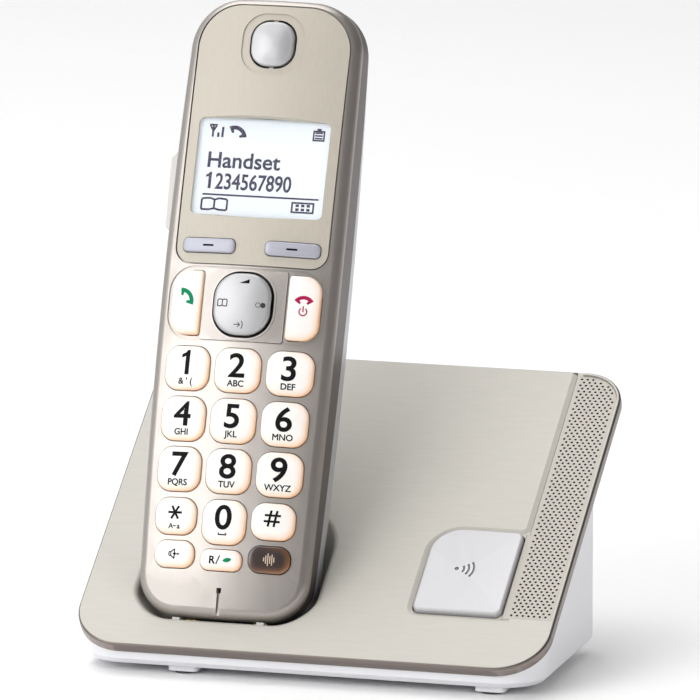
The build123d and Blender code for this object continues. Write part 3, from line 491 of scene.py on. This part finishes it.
def open_book(width, height, line):
    """Outline of an open book, drawn as two pages."""
    loops = []
    for side in (-1, 1):
        page = [(0, -height * 0.38), (0, height * 0.36), (side * width * 0.16, height * 0.5),
                (side * width * 0.4, height * 0.46), (side * width * 0.5, height * 0.4),
                (side * width * 0.5, -height * 0.5), (side * width * 0.2, -height * 0.5)]
        for start, end in zip(page, page[1:] + page[:1]):
            loops.append(stroke(*start, *end, line))
    return loops


def text_loops(text, size, width=1.0):
    """Outlines of a line of text in the built-in typeface, centred; size is the height of a capital."""
    curve = bpy.data.curves.new("text", "FONT")
    curve.body = text
    curve.align_x = "CENTER"
    curve.fill_mode = "NONE"
    curve.resolution_u = 6
    holder = bpy.data.objects.new("text", curve)
    bpy.context.scene.collection.objects.link(holder)
    bpy.context.view_layer.update()
    mesh = bpy.data.meshes.new_from_object(holder)
    neighbours = {}
    for edge in mesh.edges:
        a, b = edge.vertices
        neighbours.setdefault(a, []).append(b)
        neighbours.setdefault(b, []).append(a)
    loops = []
    unused = set(neighbours)
    while unused:
        first = min(unused)
        loop = [first]
        unused.discard(first)
        while True:
            ahead = [v for v in neighbours[loop[-1]] if v in unused]
            if not ahead:
                break
            loop.append(ahead[0])
            unused.discard(ahead[0])
        loops.append([tuple(mesh.vertices[v].co[:2]) for v in loop])
    scale = size / CAPITAL_H
    loops = [[(px * scale * width, (py - CAPITAL_H / 2) * scale) for px, py in loop] for loop in loops]
    bpy.data.objects.remove(holder)
    bpy.data.curves.remove(curve)
    bpy.data.meshes.remove(mesh)
    return loops


def figure_one(height):
    """Figure 1 with a slanting flag, centred."""
    shape = [(-0.06, -0.5), (0.12, -0.5), (0.12, 0.5), (0.0, 0.5),
             (-0.07, 0.4), (-0.23, 0.32), (-0.23, 0.17), (-0.06, 0.25)]
    return [[(x * height, y * height) for x, y in shape]]


def fitted_text(text, x0, x1, s, size, bold):
    """Line of text squeezed or drawn out to fill the space from x0 to x1."""
    loops = text_loops(text, size)
    xs = [x for loop in loops for x, _ in loop]
    scale = (x1 - x0) / (max(xs) - min(xs))
    return thicken([[(x0 + (x - min(xs)) * scale, s + y) for x, y in loop] for loop in loops], bold)


def thicken(loops, amount):
    """Bolder outlines: outer loops grow and holes shrink by an amount."""
    bold = []
    for index, loop in enumerate(loops):
        others = loops[:index] + loops[index + 1:]
        hole = crosses_inside(*loop[0], others)
        area = sum(x0 * y1 - x1 * y0 for (x0, y0), (x1, y1) in zip(loop, loop[1:] + loop[:1]))
        sign = amount if (area > 0) != hole else -amount
        pushed = []
        for before, here, after in zip(loop[-1:] + loop[:-1], loop, loop[1:] + loop[:1]):
            first = (Vector(here) - Vector(before)).normalized()
            second = (Vector(after) - Vector(here)).normalized()
            normal = Vector((first.y + second.y, -first.x - second.x))
            length = max(normal.length, 1.0)
            pushed.append((here[0] + 2 * normal.x / length ** 2 * sign,
                           here[1] + 2 * normal.y / length ** 2 * sign))
        bold.append(pushed)
    return bold


def split_loop(loop, longest):
    """The same loop with its long edges divided."""
    points = []
    for (x0, y0), (x1, y1) in zip(loop, loop[1:] + loop[:1]):
        pieces = max(1, math.ceil(math.hypot(x1 - x0, y1 - y0) / longest))
        points += [(x0 + (x1 - x0) * step / pieces, y0 + (y1 - y0) * step / pieces) for step in range(pieces)]
    return points


def winds_inside(x, y, loops):
    """True where the point lies inside the loops; overlapping strokes count once."""
    for loop in loops:
        inside = False
        for (x0, y0), (x1, y1) in zip(loop, loop[1:] + loop[:1]):
            if (y0 > y) != (y1 > y) and x < x0 + (y - y0) * (x1 - x0) / (y1 - y0):
                inside = not inside
        if inside:
            return True
    return False


def crosses_inside(x, y, loops):
    """True where the point lies inside an odd number of loops, so that inner loops are holes."""
    return sum(winds_inside(x, y, [loop]) for loop in loops) % 2 == 1


def triangles(loops, keep, fill=None):
    """Triangulates loops, with spare points every fill millimetres, and keeps what keep(x, y) accepts."""
    points, edges = [], []
    for loop in loops:
        first = len(points)
        points += [Vector(point) for point in loop]
        edges += [(first + i, first + (i + 1) % len(loop)) for i in range(len(loop))]
    if fill:
        xs = [p.x for p in points]
        ys = [p.y for p in points]
        for column in range(1, int((max(xs) - min(xs)) / fill) + 1):
            for row in range(1, int((max(ys) - min(ys)) / fill) + 1):
                spare = Vector((min(xs) + column * fill, min(ys) + row * fill))
                if keep(spare.x, spare.y):
                    points.append(spare)
    flat, _, faces, _, _, _ = delaunay_2d_cdt(points, edges, [], 0, 1e-5)
    kept = []
    for face in faces:
        x = sum(flat[i].x for i in face) / 3
        y = sum(flat[i].y for i in face) / 3
        if keep(x, y):
            kept.append(tuple(face))
    return flat, kept


# ---------------------------------------------------------------- meshes

MARK_LIFT = 0.03        # a printed mark stands this far above its surface
MARK_SINK = 0.06        # and reaches this far below it
MARK_EDGE = 0.7         # longest edge of its outline
MARK_FILL = 0.8         # spacing of the points inside it
ROUND_STEPS = 6         # rings over a cap's rounded edge
CROWN_STEPS = 7         # and over its crowned top
PAINTED_GLOW_REACH = 2.1        # how far in from a key's edge its painted glow fades out

def finish_mesh(bm, name, paints, body, sharp=35.0):
    """Turns a bmesh into a piece that rides on a body."""
    bmesh.ops.recalc_face_normals(bm, faces=bm.faces)
    for face in bm.faces:
        face.smooth = True
    for edge in bm.edges:
        if len(edge.link_faces) == 2 and edge.calc_face_angle() > math.radians(sharp):
            edge.smooth = False
    mesh = bpy.data.meshes.new(name)
    bm.to_mesh(mesh)
    bm.free()
    for paint_name in paints:
        mesh.materials.append(PAINT[paint_name])
    piece = bpy.data.objects.new(name, mesh)
    bpy.context.scene.collection.objects.link(piece)
    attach(piece, body)
    return piece


def mark(name, loops, surface, height, paint_name, body, odd=True):
    """Printed mark: a thin closed layer that follows height(x, s) on a surface."""
    loops = [split_loop(loop, MARK_EDGE) for loop in loops]
    test = crosses_inside if odd else winds_inside
    flat, faces = triangles(loops, lambda x, y: test(x, y, loops), MARK_FILL)
    used = sorted({index for face in faces for index in face})
    bm = bmesh.new()
    top, bottom = {}, {}
    for index in used:
        x, y = flat[index]
        top[index] = bm.verts.new(surface.point(x, y, height(x, y) + MARK_LIFT))
        bottom[index] = bm.verts.new(surface.point(x, y, height(x, y) - MARK_SINK))
    sides = {}
    for a, b, c in faces:
        bm.faces.new((top[a], top[b], top[c]))
        bm.faces.new((bottom[c], bottom[b], bottom[a]))
        for pair in ((a, b), (b, c), (c, a)):
            if pair[::-1] in sides:
                del sides[pair[::-1]]
            else:
                sides[pair] = True
    for a, b in sides:
        bm.faces.new((top[b], top[a], bottom[a], bottom[b]))
    return finish_mesh(bm, name, [paint_name], body)


def pillow_height(depth, proud, rounding, crown, reach):
    """Height of a pillowed cap at a distance from its edge."""
    if depth <= 0:
        return proud - rounding
    if depth < rounding:
        return proud - rounding + math.sqrt(rounding ** 2 - (rounding - depth) ** 2)
    share = min(1.0, (depth - rounding) / (reach - rounding))
    return proud + crown * (1 - (1 - share) ** 2)


class Cap:
    """Pillowed cap on the handset's face: a rounded plan, a rounded edge and a crowned top."""

    def __init__(self, x, s, width, height, radii, proud, rounding, crown):
        self.x, self.s, self.width, self.height = x, s, width, height
        self.radii = radii
        self.proud, self.rounding, self.crown = proud, rounding, crown
        self.reach = min(width, height) / 2

    def top(self, x, s):
        depth = depth_inside(x - self.x, s - self.s, self.width, self.height, self.radii)
        rise = pillow_height(depth, self.proud, self.rounding, self.crown, self.reach)
        return face_height(x, s) + rise

    def glow(self, dx, ds, depth):
        """How much of the edge's painted glow shows: most at the lower right."""
        side = 0.5 + 0.55 * (dx / (self.width / 2) * 0.62 - ds / (self.height / 2) * 0.62)
        edge = max(0.0, 1 - depth / PAINTED_GLOW_REACH)
        return max(0.0, min(1.0, side)) * edge ** 1.5

    def build(self, name, floor, paints, body, slot):
        rings = [(0.0, floor), (0.0, 0.35 * (self.proud - self.rounding)), (0.0, self.proud - self.rounding)]
        for step in range(1, ROUND_STEPS + 1):
            turn = math.pi / 2 * step / ROUND_STEPS
            depth = self.rounding * (1 - math.cos(turn))
            rings.append((depth, self.proud - self.rounding + self.rounding * math.sin(turn)))
        for step in range(1, CROWN_STEPS + 1):
            depth = self.rounding + (self.reach * 0.97 - self.rounding) * step / CROWN_STEPS
            rings.append((depth, pillow_height(depth, self.proud, self.rounding, self.crown, self.reach)))
        bm = bmesh.new()
        layer = bm.verts.layers.float.new("glow")
        loops = []
        for index, (depth, rise) in enumerate(rings):
            loop = []
            for dx, ds in rounded_outline(self.width, self.height, self.radii, depth):
                x, s = self.x + dx, self.s + ds
                level = rise if index == 0 else face_height(x, s) + rise
                vert = bm.verts.new(HANDSET.point(x, s, level))
                vert[layer] = self.glow(dx, ds, depth)
                loop.append(vert)
            loops.append(loop)
        for low, high in zip(loops, loops[1:]):
            for i in range(len(low)):
                j = (i + 1) % len(low)
                bm.faces.new((low[i], low[j], high[j], high[i]))
        bm.faces.new(loops[0][::-1])
        bm.faces.new(loops[-1])
        return finish_mesh(bm, name, paints, body, 50.0)


def plate_copy(name, node, pockets, in_pocket, depth, paints, body):
    """Copy of a CAD plate whose level top gets pockets cut to a depth."""
    bm = bmesh.new()
    bm.from_mesh(NODES[node].data)
    bmesh.ops.remove_doubles(bm, verts=bm.verts, dist=1e-6)
    level = max(PLATE.read(v.co)[2] for v in bm.verts)
    top = [f for f in bm.faces if all(level - PLATE.read(v.co)[2] < 0.01 for v in f.verts)]
    members = set(top)
    border = [e for e in bm.edges if sum(f in members for f in e.link_faces) == 1]
    spots = {v: index for index, v in enumerate({v: 0 for e in border for v in e.verts})}
    points = [Vector(PLATE.read(v.co)[:2]) for v in spots]
    edges = [(spots[e.verts[0]], spots[e.verts[1]]) for e in border]
    bmesh.ops.delete(bm, geom=top, context="FACES_ONLY")
    for loop in pockets:
        first = len(points)
        points += [Vector(point) for point in loop]
        edges += [(first + i, first + (i + 1) % len(loop)) for i in range(len(loop))]
    flat, _, faces, _, _, _ = delaunay_2d_cdt(points, edges, [], 1, 1e-5)
    high, low = {}, {}
    walls = {}
    for face in faces:
        x = sum(flat[i].x for i in face) / 3
        y = sum(flat[i].y for i in face) / 3
        sunk = in_pocket(x, y)
        store, h = (low, level - depth) if sunk else (high, level)
        for i in face:
            if i not in store:
                store[i] = bm.verts.new(PLATE.point(flat[i].x, flat[i].y, h))
        new = bm.faces.new([store[i] for i in face])
        new.material_index = 1 if sunk else 0
        if sunk:
            for a, b in zip(face, list(face[1:]) + [face[0]]):
                if (b, a) in walls:
                    del walls[(b, a)]
                else:
                    walls[(a, b)] = True
    for a, b in walls:
        wall = bm.faces.new((low[a], low[b], high[b], high[a]))
        wall.material_index = 1
    bmesh.ops.remove_doubles(bm, verts=bm.verts, dist=1e-6)
    piece = finish_mesh(bm, name, paints, body)
    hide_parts(node)
    return piece


# ---------------------------------------------------------------- keys

KEY_PROUD = 1.1
SOFT_PROUD = 0.7
KEY_ROUNDING = 0.75
KEY_H = 12.1
KEY_RADII = (4.0, 4.0, 4.0, 4.0)
KEY_SMALL_RADII = (3.8, 3.8, 3.8, 3.8)
KEY_FLOOR_H = -5.3
CALL_KEY = (16.5, 85.25, 8.8, 17.7)     # talk and off keys: x, s, width, height
SOFT_KEY = (11.8, 101.15, 15.0, 3.9)
NUMBER_ROWS = ((67.3, 14.45, 12.8), (53.5, 14.25, 12.7), (39.8, 14.1, 12.5))    # s, pitch, width


def number_keys():
    """Caps of the nine digit keys: rows from the top, a little narrower towards the foot."""
    caps = {}
    for row, (s, pitch, width) in enumerate(NUMBER_ROWS):
        for column in range(3):
            name = "key_%d" % (3 * row + column + 1)
            caps[name] = Cap((column - 1) * pitch, s, width, KEY_H, KEY_RADII, KEY_PROUD, KEY_ROUNDING, 0.35)
    return caps


def mirrored(side, place, radii, proud, rounding, crown):
    """Cap of one of a pair of keys, on the left for side -1 and on the right for 1."""
    x, s, width, height = place
    return Cap(side * x, s, width, height, radii, proud, rounding, crown)


CAPS = number_keys()
CAPS["key_star"] = Cap(-13.9, 27.0, 11.9, 10.0, KEY_SMALL_RADII, KEY_PROUD, KEY_ROUNDING, 0.3)
CAPS["key_0"] = Cap(0.0, 26.0, 12.2, KEY_H, KEY_RADII, KEY_PROUD, KEY_ROUNDING, 0.35)
CAPS["key_hash"] = Cap(13.5, 27.0, 11.9, 10.0, KEY_SMALL_RADII, KEY_PROUD, KEY_ROUNDING, 0.3)
CAPS["key_speaker"] = Cap(-13.4, 16.7, 11.4, 7.4, (3.2,) * 4, KEY_PROUD, 0.7, 0.25)
CAPS["key_recall"] = Cap(0.0, 15.7, 11.6, 5.7, (2.4,) * 4, KEY_PROUD, 0.65, 0.2)
CAPS["key_voice"] = Cap(13.2, 16.7, 11.4, 7.3, (3.2,) * 4, KEY_PROUD, 0.6, 0.15)
CAPS["key_talk"] = mirrored(-1, CALL_KEY, (6.0, 1.0, 1.0, 6.0), KEY_PROUD, 0.7, 0.3)
CAPS["key_off"] = mirrored(1, CALL_KEY, (1.0, 6.0, 6.0, 1.0), KEY_PROUD, 0.7, 0.3)
CAPS["key_soft_left"] = mirrored(-1, SOFT_KEY, (1.4,) * 4, SOFT_PROUD, 0.45, 0.12)
CAPS["key_soft_right"] = mirrored(1, SOFT_KEY, (1.4,) * 4, SOFT_PROUD, 0.45, 0.12)

LETTERS = {"key_2": "ABC", "key_3": "DEF", "key_4": "GHI", "key_5": "JKL", "key_6": "MNO",
           "key_7": "PQRS", "key_8": "TUV", "key_9": "WXYZ", "key_1": "& ' ("}
DIGIT_H = 6.7
DIGIT_UP = 1.5
LETTER_H = 1.75
LETTER_UP = -3.55


def key_mark(name, label, loops, paint_name="ink", odd=True):
    """Mark printed on a key's crowned top; its loops are measured from the key's middle."""
    cap = CAPS[name]
    mark("%s_%s" % (name, label), moved(loops, cap.x, cap.s), HANDSET, cap.top, paint_name, name,
         odd)


def star():
    """Six-armed star."""
    return [stroke(0, 0, 2.0 * math.cos(math.radians(turn)), 2.0 * math.sin(math.radians(turn)), 0.62)
            for turn in range(0, 360, 60)]


def hash_sign():
    slope = 0.35
    loops = [stroke(x - slope, -2.2, x + slope, 2.2, 0.62) for x in (-0.75, 0.85)]
    return loops + [stroke(-2.25 + dx, s, 2.1 + dx, s, 0.6) for s, dx in ((0.85, 0.15), (-0.8, -0.05))]


def speaker_icon():
    """Loudspeaker with a double-headed arrow."""
    box = [(-1.3, -0.5), (-0.75, -0.5), (0.25, -1.3), (0.25, 1.3), (-0.75, 0.5), (-1.3, 0.5)]
    loops = [stroke(*start, *end, 0.32) for start, end in zip(box, box[1:] + box[:1])]
    loops.append(stroke(-0.75, -0.5, -0.75, 0.5, 0.28))
    loops.append(stroke(-0.2, 0.0, 1.45, 0.0, 0.3))
    loops.append([(0.05, 0.0), (0.55, 0.42), (0.55, -0.42)])
    loops.append([(1.75, 0.0), (1.25, 0.42), (1.25, -0.42)])
    return loops


def leaf():
    """Pointed leaf made of two arcs."""
    return [arc(0, -1.0, 1.75, 40, 140, 10) + arc(0, 1.25, 1.75, 220, 320, 10)]


def key_look(name):
    """Paint and slot of a key's cap."""
    if name.startswith("key_soft"):
        return "soft", "soft_key"
    if name == "key_voice":
        return "brown_key", "brown_key"
    return "key", "white_key"


def make_keys():
    for name, cap in CAPS.items():
        paint_name, slot = key_look(name)
        piece = cap.build(name + "_cap", KEY_FLOOR_H, [paint_name], name, slot)
        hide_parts(name)
        if paint_name == "soft":
            key_mark(name, "dash", [bar(-1.5, -0.27, 1.5, 0.27)])
    for digit in range(10):
        name = "key_%d" % digit
        figure = figure_one(DIGIT_H) if digit == 1 else thicken(text_loops(str(digit), DIGIT_H, 1.08), 0.17)
        key_mark(name, "digit", moved(figure, 0, DIGIT_UP))
        if name in LETTERS:
            letters = thicken(text_loops(LETTERS[name], LETTER_H), 0.055)
            key_mark(name, "letters", moved(letters, 0, LETTER_UP))
    key_mark("key_star", "star", moved(star(), 0, 0.9), odd=False)
    key_mark("key_star", "case_mark", moved(thicken(text_loops("A  a", 1.45), 0.05), 0, -2.7)
             + [stroke(-0.3, -2.75, 0.45, -2.75, 0.3)])
    space = [(-1.2, -2.9), (-1.2, -3.6), (1.2, -3.6), (1.2, -2.9), (0.9, -2.9), (0.9, -3.25), (-0.9, -3.25),
             (-0.9, -2.9)]
    key_mark("key_0", "space_mark", [space])
    key_mark("key_hash", "hash", moved(hash_sign(), 0, 0.8), odd=False)
    key_mark("key_speaker", "icon", speaker_icon(), odd=False)
    key_mark("key_recall", "letter", moved(thicken(text_loops("R", 2.1), 0.08), -2.3, 0.05))
    key_mark("key_recall", "stroke", [stroke(-1.05, -1.15, -0.15, 1.25, 0.32)])
    key_mark("key_recall", "leaf", moved(leaf(), 2.0, 0.0, 12, 0.95), "green_ink")
    bars = (0.5, 1.1, 1.7, 1.0, 1.5, 0.7)
    waves = [bar(0.55 * i - 1.6, -h, 0.55 * i - 1.34, h) for i, h in enumerate(bars)]
    key_mark("key_voice", "waves", moved(waves, 0.3, 0), "pale_ink")
    key_mark("key_talk", "receiver", moved(receiver(), 0.0, 1.4, -50, 3.0), "green_ink")
    key_mark("key_off", "receiver", moved(receiver(), 0.1, 1.9, 0, 2.6), "red_ink")
    power = [band(0.1, -0.9, 1.05, 0.36, 125, 415), bar(-0.08, -1.0, 0.28, 0.65)]
    key_mark("key_off", "power_sign", power, "red_ink", odd=False)


# ---------------------------------------------------------------- navigation key, earpiece, display

def make_navigation():
    """Satin cap over the black navigation key, with its four marks."""
    width, height = NAV_SIZE
    cap = Cap(NAV_X, NAV_S, width + 0.1, height + 0.1, (6.65,) * 4, 2.06, 0.95, 0.5)
    cap.build("navigation_cap", 0.75, ["satin"], "navigation_key", "chrome_trim")
    wedge = [[(-1.4, -0.45), (1.4, -0.45), (1.4, 0.75)]]
    toggle = ring(-0.62, 0, 0.62, 0.16) + [disc(0.72, 0, 0.72)]
    arrow = [stroke(-1.3, 0, 0.4, 0, 0.22), stroke(-0.25, 0.62, 0.45, 0, 0.22),
             stroke(-0.25, -0.62, 0.45, 0, 0.22), band(-0.4, 0, 1.55, 0.24, -42, 42)]
    marks = (
        ("volume_mark", wedge, 0.4, 6.1, "ink", True),
        ("book_mark", open_book(2.7, 1.9, 0.3), -5.3, 0.1, "grey_ink", False),
        ("toggle_mark", toggle, 5.4, -0.1, "grey_ink", True),
        ("arrow_mark", arrow, -0.2, -5.7, "grey_ink", False),
    )
    for label, loops, dx, ds, paint_name, odd in marks:
        mark("navigation_" + label, moved(loops, NAV_X + dx, NAV_S + ds), HANDSET, cap.top, paint_name,
             "navigation_key", odd)


def make_earpiece():
    """Crowned satin cap of the earpiece."""
    cap = Cap(0.0, EAR_S, 12.0, 12.4, (4.8,) * 4, 0.45, 0.7, 0.75)
    piece = cap.build("earpiece_cover", -1.1 + face_height(6.0, EAR_S), ["satin"], "handset", "chrome_trim")
    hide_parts("earpiece_cap")


def frame_strokes(x0, s0, x1, s1, width):
    """Rectangle drawn as four strokes; x0 to x1 and s0 to s1 are its outer edges."""
    half = width / 2
    return [stroke(x0, s0 + half, x1, s0 + half, width), stroke(x0, s1 - half, x1, s1 - half, width),
            stroke(x0 + half, s0, x0 + half, s1, width), stroke(x1 - half, s0, x1 - half, s1, width)]


def display_mark(label, loops, odd):
    mark("display_" + label, loops, WINDOW, lambda x, s: LCD_TOP_H, "lcd_ink", "handset", odd)


def make_display():
    """Dark marks on the display's picture; x from its middle, s up from its middle."""
    antenna = [stroke(-15.9, 11.65, -13.7, 11.65, 0.5), stroke(-15.75, 11.6, -14.8, 9.9, 0.48),
               stroke(-13.85, 11.6, -14.8, 9.9, 0.48), bar(-15.08, 8.3, -14.52, 11.8),
               bar(-13.6, 8.3, -12.95, 9.6), bar(-12.4, 8.3, -11.75, 11.2)]
    battery = frame_strokes(13.4, 8.5, 16.8, 11.5, 0.45) + [bar(14.5, 11.3, 15.7, 12.05)]
    battery += [stroke(14.0, s, 16.2, s, 0.45) for s in (9.3, 10.05, 10.8)]
    keypad = frame_strokes(9.4, -11.6, 15.9, -8.5, 0.5)
    keypad += [bar(x, s, x + 0.95, s + 0.75) for x in (10.65, 12.2, 13.75) for s in (-10.95, -9.85)]
    marks = {
        "antenna": antenna, "battery": battery, "keypad": keypad,
        "separator": [bar(-15.9, -7.85, 16.9, -7.35)],
        "receiver": moved(receiver(), -7.9, 9.8, -28, 2.9),
        "book": moved(open_book(7.2, 3.2, 0.55), -12.3, -10.2),
    }
    for label, loops in marks.items():
        display_mark(label, loops, False)
    texts = {
        "words": fitted_text("Handset", -15.3, 5.0, 2.2, 4.4, 0.12),
        "digits": fitted_text("234567890", -12.6, 8.7, -3.7, 4.5, 0.10),
        "figure_one": moved(figure_one(4.6), -14.4, -3.7),
    }
    for label, loops in texts.items():
        display_mark(label, loops, True)


# ---------------------------------------------------------------- base: strip and button

DOT_X = 53.55
DOT_PITCH_X = 1.58
DOT_PITCH_T = 2.28
DOT_FIRST_T = 20.2
DOT_LAST_T = 109.4
DOT_R = 0.36
DOT_COLUMNS = 8
DOT_DEPTH = 0.8
DOT_CLEARANCE = 2.0     # dots' centres keep this far from the plate's rounded corner
SIGN_X, SIGN_T = 35.3, 34.6         # the locator button's dot
SIGN_LINE = 0.62
SIGN_RADII = (2.0, 3.35, 4.7)
SIGN_SPREAD = 34
SIGN_DEPTH = 0.22


def dot_centre(row, column):
    """Odd rows stand half a pitch to the right."""
    return DOT_X + (column + 0.5 * (row % 2)) * DOT_PITCH_X, DOT_FIRST_T + row * DOT_PITCH_T / 2


def strip_dots():
    """Centres of the dots: two staggered lattices, kept clear of the rounded corner."""
    corner = PLATE_RADII[2]
    middle_x, middle_t = PLATE_W / 2 - corner, PLATE_L - corner
    dots = []
    for row in range(int(2 * (DOT_LAST_T - DOT_FIRST_T) / DOT_PITCH_T) + 1):
        for column in range(DOT_COLUMNS - row % 2):
            x, t = dot_centre(row, column)
            past = math.hypot(max(0, x - middle_x), max(0, t - middle_t))
            if past < corner - DOT_CLEARANCE:
                dots.append((x, t))
    return dots


def make_strip():
    dots = strip_dots()
    cells = {(round(x, 2), round(t, 2)) for x, t in dots}

    def in_dot(x, t):
        row = round((t - DOT_FIRST_T) / (DOT_PITCH_T / 2))
        for near in (row - 1, row, row + 1):
            column = round((x - DOT_X) / DOT_PITCH_X - 0.5 * (near % 2))
            cx, ct = dot_centre(near, column)
            if (round(cx, 2), round(ct, 2)) in cells and math.hypot(x - cx, t - ct) < DOT_R:
                return True
        return False

    # the dots are shallow pockets whose floors and walls are painted near-black as shade
    pockets = [disc(x, t, DOT_R, 12) for x, t in dots]
    plate_copy("dotted_strip", "perforated_strip", pockets, in_dot, DOT_DEPTH, ["dots", "dot_shade"], "base")


def make_button():
    """Locator button with a dot and three waves engraved."""
    pockets = [disc(SIGN_X, SIGN_T, SIGN_LINE)]
    pockets += [band(SIGN_X, SIGN_T, radius, SIGN_LINE, -SIGN_SPREAD, SIGN_SPREAD) for radius in SIGN_RADII]
    plate_copy("engraved_button", "locator_button", pockets, lambda x, t: winds_inside(x, t, pockets),
               SIGN_DEPTH, ["button", "engraved"], "locator_button")


# ---------------------------------------------------------------- stage

CAMERA_AZIMUTH = math.radians(16.052)
CAMERA_ELEVATION = math.radians(11.779)
CAMERA_DISTANCE = 2.636
CAMERA_AIM = Vector((0.00196, -0.00726, 0.0844))
CAMERA_LENS = 501.5


def make_camera():
    data = bpy.data.cameras.new("camera")
    data.lens = CAMERA_LENS
    data.sensor_width = 36.0
    data.clip_end = 50.0
    camera = bpy.data.objects.new("camera", data)
    bpy.context.scene.collection.objects.link(camera)
    away = Vector((math.sin(CAMERA_AZIMUTH) * math.cos(CAMERA_ELEVATION),
                   -math.cos(CAMERA_AZIMUTH) * math.cos(CAMERA_ELEVATION), math.sin(CAMERA_ELEVATION)))
    camera.location = CAMERA_AIM + away * CAMERA_DISTANCE
    camera.rotation_euler = (-away).to_track_quat("-Z", "Y").to_euler()
    bpy.context.scene.camera = camera


def softbox(name, place, aim, width, height, power, glossy=True):
    data = bpy.data.lights.new(name, "AREA")
    data.shape = "RECTANGLE"
    data.size = width
    data.size_y = height
    data.energy = power
    light = bpy.data.objects.new(name, data)
    bpy.context.scene.collection.objects.link(light)
    light.location = place
    light.rotation_euler = (Vector(aim) - Vector(place)).to_track_quat("-Z", "Y").to_euler()
    light.visible_glossy = glossy


def make_floor():
    half, steps = 6.0, 12
    bm = bmesh.new()
    bmesh.ops.create_grid(bm, x_segments=steps, y_segments=steps, size=half)
    mesh = bpy.data.meshes.new("floor")
    bm.to_mesh(mesh)
    bm.free()
    mesh.materials.append(paint("pale_floor", (0.93, 0.93, 0.93), 0.0, 0.7, 300, (1, 1, 1), 0.01, 0.01,
                                specular=0.2))
    floor = bpy.data.objects.new("floor", mesh)
    bpy.context.scene.collection.objects.link(floor)


def make_world():
    """Soft surroundings: light on the left, darker on the right."""
    world = bpy.data.worlds.new("studio")
    world.use_nodes = True
    bpy.context.scene.world = world
    nodes, links = world.node_tree.nodes, world.node_tree.links
    place = nodes.new("ShaderNodeTexCoord")
    parts = nodes.new("ShaderNodeSeparateXYZ")
    links.new(place.outputs["Generated"], parts.inputs["Vector"])
    side = nodes.new("ShaderNodeMapRange")
    side.inputs["From Min"].default_value = -0.6
    side.inputs["From Max"].default_value = 0.55
    links.new(parts.outputs["X"], side.inputs["Value"])
    colour = ramp(nodes, links, side.outputs["Result"], (0.95, 0.95, 0.95), (0.20, 0.19, 0.19), (0.0, 1.0))
    links.new(colour, nodes["Background"].inputs["Color"])
    nodes["Background"].inputs["Strength"].default_value = 0.78


def make_studio():
    make_floor()
    make_world()
    middle = (0.0, 0.0, 0.08)
    softbox("key_light", (-1.1, -1.5, 1.0), middle, 1.3, 1.3, 16.0)
    softbox("top_light", (-0.5, 0.3, 1.7), middle, 1.8, 1.8, 23.0)
    softbox("fill_light", (1.6, -0.9, 0.8), middle, 1.0, 1.0, 10.0, glossy=False)
    bpy.context.scene.view_settings.view_transform = "Standard"


dress_nodes()
make_keys()
make_navigation()
make_earpiece()
make_display()
make_strip()
make_button()
make_camera()
make_studio()
